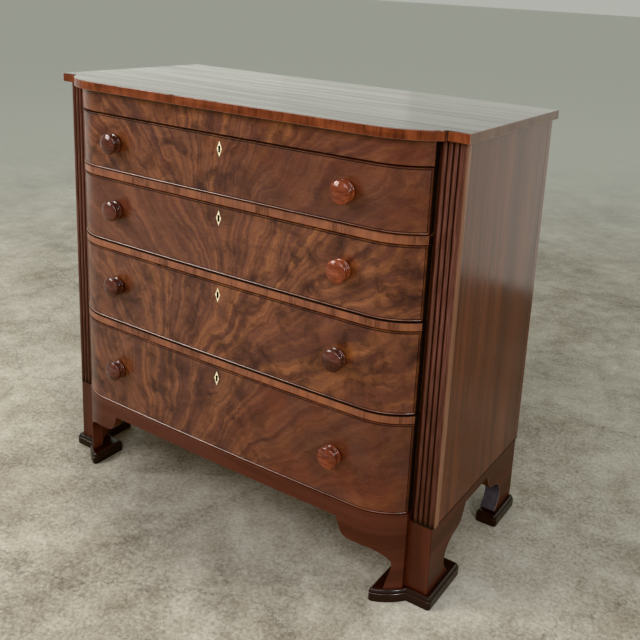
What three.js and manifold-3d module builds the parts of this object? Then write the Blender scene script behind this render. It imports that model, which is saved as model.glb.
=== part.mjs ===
import * as THREE from 'three';
import { mergeVertices } from 'three/addons/utils/BufferGeometryUtils.js';
import Module from 'manifold-3d';

// Bow front chest of drawers in mahogany: four long drawers between reeded pilasters, on bracket
// feet with thick pads. Millimetres, X to the right, Y to the back, Z up, Z zero on the floor.

const wasm = await Module();
wasm.setup();

// Driving dimensions of the whole chest
const HEIGHT = 1000;
const DEPTH = 534;
const CASE_WIDTH = 1060;
const BOW_DEPTH = 58;
const BASE_HEIGHT = 184;
const PAD_HEIGHT = 27;

// Plan of the bow: a long flat arc that turns into a tight arc at each end
const BOW_RADIUS = 17000;
const BOW_END_RADIUS = 137;
const BOW_END_WIDTH = 99.5;
const BOW_FLAT_STEPS = 7;
const BOW_END_STEPS = 8;

// Top board
const TOP_THICKNESS = 20;
const TOP_SIDE_OVERHANG = 12;
const TOP_EAR_OVERHANG = 11;
const TOP_BOW_OVERHANG = 19;
const TOP_EDGE_ROUND = 2;

// Case
const SIDE_THICKNESS = 20;
const BACK_THICKNESS = 8;
const BOTTOM_THICKNESS = 12;
const FRIEZE_HEIGHT = 51;
const BLADE_HEIGHT = 18;
const RAIL_DEPTH_AT_PILASTER = 35;
const DUST_THICKNESS = 10;
const GUIDE_HEIGHT = 16;

// Pilasters: a sunk plain strip beside the drawers, then the reeds and a narrow land at the corner
const PILASTER_WIDTH = 55.5;
const PILASTER_THICKNESS = 25;
const STRIP_WIDTH = 7;
const STRIP_SINK = 9;
const REED_COUNT = 4;
const CORNER_LAND = 2.5;
const REED_RISE = 4.5;
const REED_STEPS = 6;

// Base and feet
const BASE_INSET = 3;
const APRON_THICKNESS = 24;
const APRON_RISE = 19;
const APRON_ARCH_DROP = 17;
const BASE_BOARD_THICKNESS = 22;
const SIDE_ARCH_DROP = 27;
const FRONT_FOOT_DEPTH = 38;
const REAR_FOOT_WIDTH = 38;
const REAR_FOOT_BLOCK_DEPTH = 108;
const BRACKET_STEPS = 22;

// Bracket curves: distance in from the outer edge of the foot, and share of the way up the arch
const FRONT_BRACKET_WIDTHS = [87, 81, 76, 76, 83, 95, 115, 138, 160, 174, 184, 191, 199];
const FRONT_BRACKET_SHARES = [
  0, 0.2, 0.343, 0.45, 0.529, 0.6, 0.664, 0.686, 0.693, 0.707, 0.75, 0.836, 1,
];
const SIDE_BRACKET_WIDTHS = [96, 85, 74, 74, 80, 89, 104, 124, 142, 154, 165];
const SIDE_BRACKET_SHARES = [0, 0.092, 0.231, 0.362, 0.462, 0.538, 0.608, 0.646, 0.708, 0.823, 1];

// Pads under the feet
const PAD_LIP = 8;
const PAD_SIDE_LIP = 13;
const PAD_FRONT_LIP = 11;
const PAD_LEG_WIDTH = 53;
const FRONT_PAD_WIDTH = 124;
const FRONT_PAD_DEPTH = 144;
const FRONT_PAD_LEG_DEPTH = 50;
const REAR_PAD_DEPTH = 118;
const PAD_ROUND_HEIGHT = 7;
const PAD_ROUND_INSET = 5;
const PAD_ROUND_STEPS = 3;

// Drawers: each opening's share of the height that they divide, from the top one down
const OPENING_SHARES = [0.1952, 0.231, 0.2673, 0.3065];
const FRONT_THICKNESS = 24;
const FRONT_SET_BACK = 1;
const FRONT_EDGE_ROUND = 2;
const FRONT_END_THICKNESS_SHARE = 0.25;
const SIDE_GAP = 1.2;
const FRONT_GAP = 2;
const RUNNING_GAP = 0.2;
const DRAWER_SIDE_THICKNESS = 12;
const DRAWER_BACK_THICKNESS = 12;
const DRAWER_BACK_SPACE = 12;
const DRAWER_SIDE_DROP = 8;
const DRAWER_BACK_DROP = 14;
const DRAWER_BOTTOM_THICKNESS = 7;
const DRAWER_BOTTOM_RAISE = 8;
const GROOVE_DEPTH = 5;

// Knobs: radius, then distance out from the seat, from the shank's end to the middle of the face
const KNOB_INSET = 159.5;
const KNOB_PROUD = 26;
const KNOB_PROJECTION = 30.5;
const KNOB_STEPS = 20;
const SHANK_RADIUS = 5;
const SHANK_LENGTH = 18;
const KNOB_BASE_RADIUS = 12;
const KNOB_NECK = [[11, 2.6], [20.8, 3], [22.5, 5.4], [20.6, 8], [17.8, 10.5], [18.6, 13]];
const KNOB_CAP = [[22.4, 14.4], [22.4, 17.6], [24, 20], [23.2, 23.6], [18.6, 27.4], [10.5, 29.8]];
const KNOB_RAISES = [2, 6, 5.5, 0];

// Escutcheons with their keyholes, and the locks behind them
const ESCUTCHEON_HEIGHT = 34;
const ESCUTCHEON_WIDTH = 14;
const ESCUTCHEON_DROP = 30;
const ESCUTCHEON_SUNK = 2;
const ESCUTCHEON_PROUD = 0.4;
const KEYHOLE_RADIUS = 1.9;
const KEYHOLE_SLOT_WIDTH = 2.2;
const KEYHOLE_SLOT_LENGTH = 7;
const KEYHOLE_STEPS = 10;
const LOCK_WIDTH = 56;
const LOCK_HEIGHT = 36;
const LOCK_THICKNESS = 9;

// Clearance where one piece fits another, and how far a cutter runs past what it cuts
const FIT = 0.3;
const OVERRUN = 5;

// Places that follow from the sizes
const CASE_BACK = DEPTH / 2;
const KNOB_SEAT = -DEPTH / 2 + KNOB_PROJECTION;
const BOW_FRONT = -DEPTH / 2 + KNOB_PROUD;
const PILASTER_FRONT = BOW_FRONT + BOW_DEPTH;
const CASE_SIDE = CASE_WIDTH / 2;
const CASE_INNER = CASE_SIDE - SIDE_THICKNESS;
const BAY_SIDE = CASE_SIDE - PILASTER_WIDTH;
const KNOB_SPREAD = BAY_SIDE - KNOB_INSET;
const CASE_TOP = HEIGHT - TOP_THICKNESS;
const FRIEZE_BOTTOM = CASE_TOP - FRIEZE_HEIGHT;
const APRON_TOP = BASE_HEIGHT + APRON_RISE;
const RAIL_BACK = PILASTER_FRONT + RAIL_DEPTH_AT_PILASTER;
const BACK_PANEL_FACE = CASE_BACK - BACK_THICKNESS;
const BASE_SIDE = CASE_SIDE - BASE_INSET;
const BASE_FRONT = PILASTER_FRONT + BASE_INSET;
const BOARD_INNER = BASE_SIDE - BASE_BOARD_THICKNESS;
const PAD_SIDE = BASE_SIDE + PAD_SIDE_LIP;
const PAD_INNER_EDGE = PAD_SIDE - FRONT_PAD_WIDTH;
const PAD_FRONT = BASE_FRONT - PAD_FRONT_LIP;

const MAHOGANY = { color: 0x6b3a26, roughness: 0.35, metalness: 0 };
const FIGURED = { color: 0x7a4a2e, roughness: 0.3, metalness: 0 };
const BANDING = { color: 0x94502a, roughness: 0.32, metalness: 0 };
const DARK_REEDING = { color: 0x4a2c28, roughness: 0.4, metalness: 0 };
const PAD_WOOD = { color: 0x2a1416, roughness: 0.35, metalness: 0 };
const TURNED = { color: 0x7a3b22, roughness: 0.2, metalness: 0 };
const BONE = { color: 0xe8ddb8, roughness: 0.5, metalness: 0 };
const PINE = { color: 0xb08a5c, roughness: 0.8, metalness: 0 };
const IRON = { color: 0x55504a, roughness: 0.5, metalness: 0.9 };

const chest = new THREE.Group();

function addPiece(group, name, geometry, finish) {
  const material = new THREE.MeshStandardMaterial({ ...finish, flatShading: true });
  const mesh = new THREE.Mesh(geometry, material);
  mesh.name = name;
  group.add(mesh);
  return mesh;
}

// How a flat outline (u, v) and its level become a point in space
const SPACE = {
  up: (u, v, level) => [u, v, level],
  side: (u, v, level) => [level, u, v],
  back: (u, v, level) => [u, level, v],
};

// A closed body through outlines with equal point counts, each at its own level
function loft(axis, sections) {
  const positions = [];
  for (const { outline, level } of sections) {
    for (const point of outline) {
      positions.push(...SPACE[axis](point.x, point.y, level));
    }
  }
  const count = sections[0].outline.length;
  const lastStart = count * (sections.length - 1);
  const faces = [];
  for (let start = 0; start < lastStart; start += count) {
    for (let index = 0; index < count; index += 1) {
      const next = (index + 1) % count;
      faces.push(start + index, start + next, start + count + next);
      faces.push(start + index, start + count + next, start + count + index);
    }
  }
  for (const [a, b, c] of THREE.ShapeUtils.triangulateShape(sections[0].outline, [])) {
    faces.push(a, c, b);
  }
  for (const [a, b, c] of THREE.ShapeUtils.triangulateShape(sections.at(-1).outline, [])) {
    faces.push(lastStart + a, lastStart + b, lastStart + c);
  }
  if (axis === 'back') {
    faces.reverse();
  }
  const geometry = new THREE.BufferGeometry();
  geometry.setAttribute('position', new THREE.Float32BufferAttribute(positions, 3));
  geometry.setIndex(faces);
  geometry.computeVertexNormals();
  return geometry;
}

function prism(axis, outline, low, high) {
  return loft(axis, [{ outline, level: low }, { outline, level: high }]);
}

function points(pairs) {
  return pairs.map(([u, v]) => new THREE.Vector2(u, v));
}

function rectangle(left, bottom, right, top) {
  return points([[left, bottom], [right, bottom], [right, top], [left, top]]);
}

function circle(x, y, radius, steps) {
  const outline = [];
  for (let step = 0; step < steps; step += 1) {
    const turn = (step / steps) * 2 * Math.PI;
    outline.push(new THREE.Vector2(x + radius * Math.cos(turn), y + radius * Math.sin(turn)));
  }
  return outline;
}

function box(left, front, low, right, back, high) {
  return prism('up', rectangle(left, front, right, back), low, high);
}

// The same outline drawn in by a distance, each corner along its bisector
function drawnIn(outline, distance) {
  return outline.map((corner, index) => {
    const before = outline.at(index - 1);
    const after = outline[(index + 1) % outline.length];
    const into = corner.clone().sub(before).normalize();
    const away = after.clone().sub(corner).normalize();
    const normals = new THREE.Vector2(-into.y - away.y, into.x + away.x);
    return corner.clone().addScaledVector(normals, distance / (1 + into.dot(away)));
  });
}

function mirrored(geometry) {
  const copy = geometry.clone();
  copy.scale(-1, 1, 1);
  copy.setIndex([...copy.index.array].reverse());
  copy.computeVertexNormals();
  return copy;
}

function toSolid(geometry) {
  const bare = geometry.clone();
  bare.deleteAttribute('normal');
  bare.deleteAttribute('uv');
  const merged = mergeVertices(bare);
  const vertProperties = merged.attributes.position.array;
  const triVerts = new Uint32Array(merged.index.array);
  return new wasm.Manifold(new wasm.Mesh({ numProp: 3, vertProperties, triVerts }));
}

function toGeometry(solid) {
  const mesh = solid.getMesh();
  const geometry = new THREE.BufferGeometry();
  geometry.setAttribute('position', new THREE.Float32BufferAttribute(mesh.vertProperties, 3));
  geometry.setIndex([...mesh.triVerts]);
  geometry.computeVertexNormals();
  return geometry;
}

// Bow curves: every front, rail and board edge is this curve at its own inset

const BOW_TURN = Math.asin((BAY_SIDE - BOW_END_WIDTH) / BOW_RADIUS);
const BOW_CENTRE = BOW_FRONT + BOW_RADIUS;
const END_CENTRE_X = (BOW_RADIUS - BOW_END_RADIUS) * Math.sin(BOW_TURN);
const END_CENTRE_Y = BOW_CENTRE - (BOW_RADIUS - BOW_END_RADIUS) * Math.cos(BOW_TURN);

function endTurnAtX(inset, x) {
  return Math.asin((x - END_CENTRE_X) / (BOW_END_RADIUS - inset));
}

function endTurnAtY(inset, y) {
  return Math.acos((END_CENTRE_Y - y) / (BOW_END_RADIUS - inset));
}

// Points of the tight arc between two turns
function endArc(inset, fromTurn, toTurn) {
  const radius = BOW_END_RADIUS - inset;
  const arc = [];
  for (let step = 0; step <= BOW_END_STEPS; step += 1) {
    const turn = THREE.MathUtils.lerp(fromTurn, toTurn, step / BOW_END_STEPS);
    const x = END_CENTRE_X + radius * Math.sin(turn);
    const y = END_CENTRE_Y - radius * Math.cos(turn);
    arc.push(new THREE.Vector2(x, y));
  }
  return arc;
}

// The whole bow from left to right, up to the given turn of the end arcs
function bow(inset, endTurn) {
  const rightEnd = endArc(inset, BOW_TURN, endTurn);
  const leftEnd = rightEnd.map((point) => new THREE.Vector2(-point.x, point.y)).reverse();
  const flat = [];
  for (let step = 1; step < BOW_FLAT_STEPS; step += 1) {
    const turn = THREE.MathUtils.lerp(-BOW_TURN, BOW_TURN, step / BOW_FLAT_STEPS);
    const x = (BOW_RADIUS - inset) * Math.sin(turn);
    const y = BOW_CENTRE - (BOW_RADIUS - inset) * Math.cos(turn);
    flat.push(new THREE.Vector2(x, y));
  }
  return [...leftEnd, ...flat, ...rightEnd];
}

// Y of the middle facet of the bow
function bowMiddle(inset) {
  const turn = BOW_TURN / BOW_FLAT_STEPS;
  return BOW_CENTRE - (BOW_RADIUS - inset) * Math.cos(turn);
}

// Top board

const topSide = CASE_SIDE + TOP_SIDE_OVERHANG;
const earFront = PILASTER_FRONT - TOP_EAR_OVERHANG;
const topBow = bow(-TOP_BOW_OVERHANG, endTurnAtY(-TOP_BOW_OVERHANG, earFront));
const topOutline = [
  ...topBow,
  ...points([[topSide, earFront], [topSide, CASE_BACK], [-topSide, CASE_BACK], [-topSide, earFront]]),
];
// The upper and lower edges are eased on the front and the sides, not along the back
const topEdge = drawnIn(topOutline, TOP_EDGE_ROUND);
for (const point of topEdge) {
  const isBack = point.y > CASE_BACK - 2 * TOP_EDGE_ROUND;
  point.y = isBack ? CASE_BACK : point.y;
}
addPiece(chest, 'top_board', loft('up', [
  { outline: topEdge, level: CASE_TOP },
  { outline: topOutline, level: CASE_TOP + TOP_EDGE_ROUND },
  { outline: topOutline, level: HEIGHT - TOP_EDGE_ROUND },
  { outline: topEdge, level: HEIGHT },
]), MAHOGANY);

// Case sides, back and pilasters

const pilasterBack = PILASTER_FRONT + PILASTER_THICKNESS;
const sidePanel = box(CASE_INNER, pilasterBack, BASE_HEIGHT, CASE_SIDE, CASE_BACK, CASE_TOP);
addPiece(chest, 'right_side_panel', sidePanel, MAHOGANY);
addPiece(chest, 'left_side_panel', mirrored(sidePanel), MAHOGANY);

const backPanel = box(-CASE_INNER, BACK_PANEL_FACE, BASE_HEIGHT, CASE_INNER, CASE_BACK, CASE_TOP);
addPiece(chest, 'back_panel', backPanel, PINE);

function pilasterOutline() {
  const stripFace = PILASTER_FRONT + STRIP_SINK;
  const firstReed = BAY_SIDE + STRIP_WIDTH;
  const grooveFace = PILASTER_FRONT + REED_RISE;
  const pitch = (CASE_SIDE - CORNER_LAND - firstReed) / REED_COUNT;
  const outline = points([[BAY_SIDE, stripFace], [firstReed, stripFace]]);
  for (let reed = 0; reed < REED_COUNT; reed += 1) {
    for (let step = 0; step <= REED_STEPS; step += 1) {
      const share = step / REED_STEPS;
      const x = firstReed + (reed + share) * pitch;
      const y = grooveFace - REED_RISE * Math.sin(share * Math.PI);
      if (step > 0 || reed === 0) {
        outline.push(new THREE.Vector2(x, y));
      }
    }
  }
  return [
    ...outline,
    ...points([[CASE_SIDE, grooveFace], [CASE_SIDE, pilasterBack], [BAY_SIDE, pilasterBack]]),
  ];
}

const pilaster = prism('up', pilasterOutline(), BASE_HEIGHT, CASE_TOP);
addPiece(chest, 'right_pilaster', pilaster, DARK_REEDING);
addPiece(chest, 'left_pilaster', mirrored(pilaster), DARK_REEDING);

// Frieze, blades between the drawers, and the dust boards that the drawers run on

const railOutline = [
  ...bow(0, endTurnAtX(0, BAY_SIDE)),
  ...points([[BAY_SIDE, RAIL_BACK], [-BAY_SIDE, RAIL_BACK]]),
];
addPiece(chest, 'frieze_rail', prism('up', railOutline, FRIEZE_BOTTOM, CASE_TOP), FIGURED);

function dustBoard(level) {
  const low = level - DUST_THICKNESS;
  const high = level + GUIDE_HEIGHT;
  const section = points([
    [-CASE_INNER, low], [CASE_INNER, low], [CASE_INNER, high], [BAY_SIDE, high],
    [BAY_SIDE, level], [-BAY_SIDE, level], [-BAY_SIDE, high], [-CASE_INNER, high],
  ]);
  return prism('back', section, RAIL_BACK, BACK_PANEL_FACE);
}

const bladeCount = OPENING_SHARES.length - 1;
const dividedHeight = FRIEZE_BOTTOM - APRON_TOP - bladeCount * BLADE_HEIGHT;
const openings = [];
let openingTop = FRIEZE_BOTTOM;
for (const share of OPENING_SHARES) {
  const openingLow = openingTop - share * dividedHeight;
  openings.push({ low: openingLow, high: openingTop });
  openingTop = openingLow - BLADE_HEIGHT;
}

for (let row = 1; row < openings.length; row += 1) {
  const bladeTop = openings[row - 1].low;
  const blade = prism('up', railOutline, openings[row].high, bladeTop);
  addPiece(chest, `drawer_blade_${row}`, blade, BANDING);
  addPiece(chest, `dust_board_${row}`, dustBoard(bladeTop), PINE);
}

// Bottom board, notched round the front corners, with its own pair of guides

const apronBackAtBay = endTurnAtX(APRON_THICKNESS, BAY_SIDE);
const apronBack = bow(APRON_THICKNESS, apronBackAtBay);
const bottomFront = bow(APRON_THICKNESS + FIT, endTurnAtX(APRON_THICKNESS + FIT, BAY_SIDE));
const bottomShoulder = bottomFront.at(-1).y;
const bottomOutline = [
  ...bottomFront,
  ...points([
    [CASE_INNER, bottomShoulder], [CASE_INNER, BACK_PANEL_FACE],
    [-CASE_INNER, BACK_PANEL_FACE], [-CASE_INNER, bottomShoulder],
  ]),
];
const bottomPlate = prism('up', bottomOutline, APRON_TOP - BOTTOM_THICKNESS, APRON_TOP);
const bottomGuide = box(
  BAY_SIDE, bottomShoulder, APRON_TOP - BOTTOM_THICKNESS,
  CASE_INNER, BACK_PANEL_FACE, APRON_TOP + GUIDE_HEIGHT,
);
const guidePair = toSolid(bottomGuide).add(toSolid(mirrored(bottomGuide)));
addPiece(chest, 'bottom_board', toGeometry(toSolid(bottomPlate).add(guidePair)), PINE);

// Bowed apron with its bracket ends

function bracketCurve(widths, shares, drop) {
  const rise = BASE_HEIGHT - drop - PAD_HEIGHT;
  const profile = widths.map((width, index) => [width, PAD_HEIGHT + shares[index] * rise]);
  return new THREE.SplineCurve(points(profile)).getPoints(BRACKET_STEPS);
}

const frontRise = bracketCurve(FRONT_BRACKET_WIDTHS, FRONT_BRACKET_SHARES, APRON_ARCH_DROP);
const frontArchRight = frontRise.map(({ x, y }) => new THREE.Vector2(CASE_SIDE - x, y));
const frontArchLeft = frontArchRight.map(({ x, y }) => new THREE.Vector2(-x, y)).reverse();
const archFoot = frontArchRight[0].x;
const archFloor = PAD_HEIGHT - OVERRUN;
const frontArch = [
  ...frontArchRight, ...frontArchLeft, ...points([[-archFoot, archFloor], [archFoot, archFloor]]),
];
const apronOutline = [...bow(0, endTurnAtX(0, BAY_SIDE)), ...apronBack.reverse()];
const apronStrip = prism('up', apronOutline, PAD_HEIGHT, APRON_TOP);
const archCutter = prism('back', frontArch, BOW_FRONT - OVERRUN, CASE_BACK);
const apron = toSolid(apronStrip).subtract(toSolid(archCutter));
addPiece(chest, 'front_apron', toGeometry(apron), MAHOGANY);

// Corner posts of the front feet, mitred into the side boards

const mitreBack = BASE_FRONT + BASE_BOARD_THICKNESS;
const postOutline = points([
  [BAY_SIDE, BASE_FRONT], [BASE_SIDE, BASE_FRONT], [BOARD_INNER, mitreBack],
  [BOARD_INNER, BASE_FRONT + FRONT_FOOT_DEPTH], [BAY_SIDE, BASE_FRONT + FRONT_FOOT_DEPTH],
]);
const frontFoot = prism('up', postOutline, PAD_HEIGHT, BASE_HEIGHT);
addPiece(chest, 'right_front_foot', frontFoot, MAHOGANY);
addPiece(chest, 'left_front_foot', mirrored(frontFoot), MAHOGANY);

// Side boards: apron, front bracket and thick rear foot in one

function sideBoardOutline(front) {
  const rise = bracketCurve(SIDE_BRACKET_WIDTHS, SIDE_BRACKET_SHARES, SIDE_ARCH_DROP);
  const frontCurve = rise.map(({ x, y }) => new THREE.Vector2(BASE_FRONT + x, y));
  const rearCurve = rise.map(({ x, y }) => new THREE.Vector2(CASE_BACK - x, y)).reverse();
  return [
    new THREE.Vector2(front, PAD_HEIGHT), ...frontCurve, ...rearCurve,
    ...points([[CASE_BACK, PAD_HEIGHT], [CASE_BACK, BASE_HEIGHT], [front, BASE_HEIGHT]]),
  ];
}

const sideBoard = loft('side', [
  { outline: sideBoardOutline(mitreBack + FIT), level: BOARD_INNER },
  { outline: sideBoardOutline(BASE_FRONT + FIT), level: BASE_SIDE },
]);
const footMiddle = (BOARD_INNER + BASE_SIDE) / 2;
const footInner = BASE_SIDE - REAR_FOOT_WIDTH;
const thickBoard = prism('side', sideBoardOutline(BASE_FRONT), footInner, footMiddle);
const rearBlock = box(
  footInner - OVERRUN, CASE_BACK - REAR_FOOT_BLOCK_DEPTH, PAD_HEIGHT - OVERRUN,
  BASE_SIDE, CASE_BACK + OVERRUN, BASE_HEIGHT + OVERRUN,
);
const rearFoot = toSolid(thickBoard).intersect(toSolid(rearBlock));
const sideBase = toGeometry(toSolid(sideBoard).add(rearFoot));
addPiece(chest, 'right_side_base', sideBase, MAHOGANY);
addPiece(chest, 'left_side_base', mirrored(sideBase), MAHOGANY);

// Pads with a moulded upper edge

function pad(outline) {
  const sections = [{ outline, level: 0 }];
  for (let step = 0; step <= PAD_ROUND_STEPS; step += 1) {
    const turn = (step / PAD_ROUND_STEPS) * (Math.PI / 2);
    const inset = PAD_ROUND_INSET * (1 - Math.cos(turn));
    const level = PAD_HEIGHT - PAD_ROUND_HEIGHT * (1 - Math.sin(turn));
    sections.push({ outline: drawnIn(outline, inset), level });
  }
  return loft('up', sections);
}

const padArc = endArc(-PAD_LIP, endTurnAtX(-PAD_LIP, PAD_INNER_EDGE), endTurnAtY(-PAD_LIP, PAD_FRONT));
const padLegInner = PAD_SIDE - PAD_LEG_WIDTH;
const frontPadOutline = [
  ...padArc,
  ...points([
    [PAD_SIDE, PAD_FRONT], [PAD_SIDE, PAD_FRONT + FRONT_PAD_DEPTH],
    [padLegInner, PAD_FRONT + FRONT_PAD_DEPTH], [padLegInner, PAD_FRONT + FRONT_PAD_LEG_DEPTH],
    [PAD_INNER_EDGE, PAD_FRONT + FRONT_PAD_LEG_DEPTH],
  ]),
];
const rearPadOutline = rectangle(padLegInner, CASE_BACK - REAR_PAD_DEPTH, PAD_SIDE, CASE_BACK);
for (const [place, outline] of [['front', frontPadOutline], ['rear', rearPadOutline]]) {
  addPiece(chest, `right_${place}_pad`, pad(outline), PAD_WOOD);
  addPiece(chest, `left_${place}_pad`, mirrored(pad(outline)), PAD_WOOD);
}

// Drawer front: bowed board with eased long edges, seats for the sides, and its holes

const frontEnd = BAY_SIDE - SIDE_GAP;
const frontInner = FRONT_SET_BACK + FRONT_THICKNESS;
const frontEndY = bow(FRONT_SET_BACK, endTurnAtX(FRONT_SET_BACK, frontEnd)).at(-1).y;
const seatFace = frontEndY + FRONT_THICKNESS * (1 - FRONT_END_THICKNESS_SHARE);

function frontOutline(faceInset) {
  const face = bow(faceInset, endTurnAtX(faceInset, frontEnd));
  const inside = bow(frontInner, endTurnAtY(frontInner, seatFace)).reverse();
  return [...face, ...points([[frontEnd, seatFace]]), ...inside, ...points([[-frontEnd, seatFace]])];
}

function frontBoard(low, high) {
  const full = frontOutline(FRONT_SET_BACK);
  const eased = frontOutline(FRONT_SET_BACK + FRONT_EDGE_ROUND);
  return loft('up', [
    { outline: eased, level: low },
    { outline: full, level: low + FRONT_EDGE_ROUND },
    { outline: full, level: high - FRONT_EDGE_ROUND },
    { outline: eased, level: high },
  ]);
}

function diamond(height, width, level) {
  const low = level - height / 2;
  const high = level + height / 2;
  return points([[0, low], [width / 2, level], [0, high], [-width / 2, level]]);
}

// A round hole over a narrow slot, as one outline
function keyhole(level) {
  const halfSlot = KEYHOLE_SLOT_WIDTH / 2;
  const opening = Math.asin(halfSlot / KEYHOLE_RADIUS);
  const slotEnd = level - KEYHOLE_SLOT_LENGTH;
  const outline = points([[-halfSlot, slotEnd], [halfSlot, slotEnd]]);
  for (let step = 0; step <= KEYHOLE_STEPS; step += 1) {
    const turn = THREE.MathUtils.lerp(opening, 2 * Math.PI - opening, step / KEYHOLE_STEPS);
    const x = KEYHOLE_RADIUS * Math.sin(turn);
    const y = level - KEYHOLE_RADIUS * Math.cos(turn);
    outline.push(new THREE.Vector2(x, y));
  }
  return outline;
}

const faceY = bowMiddle(FRONT_SET_BACK);
const lockFace = bowMiddle(frontInner) + FIT;

function drawerFront(low, high, knobLevel, lockLevel) {
  const cutFront = BOW_FRONT - OVERRUN;
  const recess = drawnIn(diamond(ESCUTCHEON_HEIGHT, ESCUTCHEON_WIDTH, lockLevel), -FIT);
  let front = toSolid(frontBoard(low, high));
  front = front.subtract(toSolid(prism('back', recess, cutFront, faceY + ESCUTCHEON_SUNK + FIT)));
  front = front.subtract(toSolid(prism('back', keyhole(lockLevel), cutFront, lockFace + OVERRUN)));
  for (const side of [-1, 1]) {
    const x = side * KNOB_SPREAD;
    const seat = circle(x, knobLevel, KNOB_BASE_RADIUS + FIT, KNOB_STEPS);
    const bore = circle(x, knobLevel, SHANK_RADIUS + FIT, KNOB_STEPS);
    front = front.subtract(toSolid(prism('back', seat, cutFront, KNOB_SEAT)));
    front = front.subtract(toSolid(prism('back', bore, cutFront, seatFace)));
  }
  return toGeometry(front);
}

// Turned knob: shank, base, flange, hollow, and the domed face on a bead

function knob() {
  const profile = points([
    [0, -SHANK_LENGTH], [SHANK_RADIUS, -SHANK_LENGTH], [SHANK_RADIUS, 0], [KNOB_BASE_RADIUS, 0],
    ...KNOB_NECK, ...KNOB_CAP, [0, KNOB_PROJECTION],
  ]);
  const turned = new THREE.LatheGeometry(profile, KNOB_STEPS);
  turned.rotateX(Math.PI);
  return toGeometry(toSolid(turned));
}

// Drawer side with the groove for the bottom, as a section drawn along the drawer's depth

const sideOuter = frontEnd;
const sideInner = sideOuter - DRAWER_SIDE_THICKNESS;
const drawerBackFace = BACK_PANEL_FACE - DRAWER_BACK_SPACE;

function drawerSide(low, high) {
  const grooveLow = low + DRAWER_BOTTOM_RAISE;
  const grooveHigh = grooveLow + DRAWER_BOTTOM_THICKNESS + FIT;
  const section = points([
    [sideInner, low], [sideOuter, low], [sideOuter, high], [sideInner, high],
    [sideInner, grooveHigh], [sideInner + GROOVE_DEPTH, grooveHigh],
    [sideInner + GROOVE_DEPTH, grooveLow], [sideInner, grooveLow],
  ]);
  return prism('back', section, seatFace, drawerBackFace);
}

// Drawer bottom: runs into the side grooves and follows the inside of the front
function drawerBottom(low) {
  const inset = frontInner + FIT;
  const edge = sideInner + GROOVE_DEPTH - FIT;
  const shoulder = seatFace + FIT;
  const outline = [
    ...bow(inset, endTurnAtY(inset, shoulder)),
    ...points([[edge, shoulder], [edge, drawerBackFace], [-edge, drawerBackFace], [-edge, shoulder]]),
  ];
  return prism('up', outline, low, low + DRAWER_BOTTOM_THICKNESS);
}

function addDrawer(number, opening, knobRaise) {
  const drawer = new THREE.Group();
  drawer.position.z = opening.low;
  const openingHeight = opening.high - opening.low;
  const high = openingHeight - FRONT_GAP;
  const knobLevel = openingHeight / 2 + knobRaise;
  const lockLevel = openingHeight - ESCUTCHEON_DROP;
  const name = `drawer_${number}`;
  addPiece(drawer, `${name}_front`, drawerFront(FRONT_GAP, high, knobLevel, lockLevel), FIGURED);

  const side = drawerSide(RUNNING_GAP, high - DRAWER_SIDE_DROP);
  addPiece(drawer, `${name}_right_side`, side, PINE);
  addPiece(drawer, `${name}_left_side`, mirrored(side), PINE);
  const bottomLow = RUNNING_GAP + DRAWER_BOTTOM_RAISE;
  const bottomHigh = bottomLow + DRAWER_BOTTOM_THICKNESS;
  addPiece(drawer, `${name}_bottom`, drawerBottom(bottomLow), PINE);
  const backFront = drawerBackFace - DRAWER_BACK_THICKNESS;
  const backHigh = high - DRAWER_BACK_DROP;
  const back = box(-sideInner, backFront, bottomHigh, sideInner, drawerBackFace, backHigh);
  addPiece(drawer, `${name}_back`, back, PINE);

  for (const [place, x] of [['left', -KNOB_SPREAD], ['right', KNOB_SPREAD]]) {
    const mesh = addPiece(drawer, `${name}_${place}_knob`, knob(), TURNED);
    mesh.position.set(x, KNOB_SEAT, knobLevel);
  }

  const plate = diamond(ESCUTCHEON_HEIGHT, ESCUTCHEON_WIDTH, lockLevel);
  const plateBody = prism('back', plate, faceY - ESCUTCHEON_PROUD, faceY + ESCUTCHEON_SUNK);
  const keyCut = prism('back', keyhole(lockLevel), faceY - OVERRUN, faceY + OVERRUN);
  const escutcheon = toGeometry(toSolid(plateBody).subtract(toSolid(keyCut)));
  addPiece(drawer, `${name}_escutcheon`, escutcheon, BONE);

  const lock = box(
    -LOCK_WIDTH / 2, lockFace, lockLevel - LOCK_HEIGHT / 2,
    LOCK_WIDTH / 2, lockFace + LOCK_THICKNESS, lockLevel + LOCK_HEIGHT / 2,
  );
  addPiece(drawer, `${name}_lock`, lock, IRON);
  chest.add(drawer);
}

openings.forEach((opening, row) => {
  addDrawer(row + 1, opening, KNOB_RAISES[row]);
});

export default chest;
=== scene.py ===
"""Bow front chest of drawers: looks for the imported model. Metres, X right, Y back, Z up."""

import math

import bmesh
import bpy
from mathutils import Matrix, Vector, noise
from mathutils.geometry import tessellate_polygon


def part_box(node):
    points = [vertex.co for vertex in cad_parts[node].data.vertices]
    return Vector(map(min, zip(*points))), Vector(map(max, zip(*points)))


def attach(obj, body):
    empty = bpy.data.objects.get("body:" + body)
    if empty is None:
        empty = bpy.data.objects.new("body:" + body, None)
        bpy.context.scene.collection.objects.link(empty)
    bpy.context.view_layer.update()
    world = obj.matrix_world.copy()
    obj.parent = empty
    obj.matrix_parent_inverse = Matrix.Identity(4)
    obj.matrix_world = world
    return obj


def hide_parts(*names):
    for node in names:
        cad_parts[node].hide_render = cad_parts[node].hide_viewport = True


bl_info = {
    "name": "Bow front chest of drawers",
    "version": (1, 0, 0),
    "blender": (4, 5, 0),
    "location": "3D View > Sidebar > Chest",
    "description": "Builds the finished pieces of a bow front mahogany chest round its fixed frame",
    "category": "Object",
}

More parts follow.
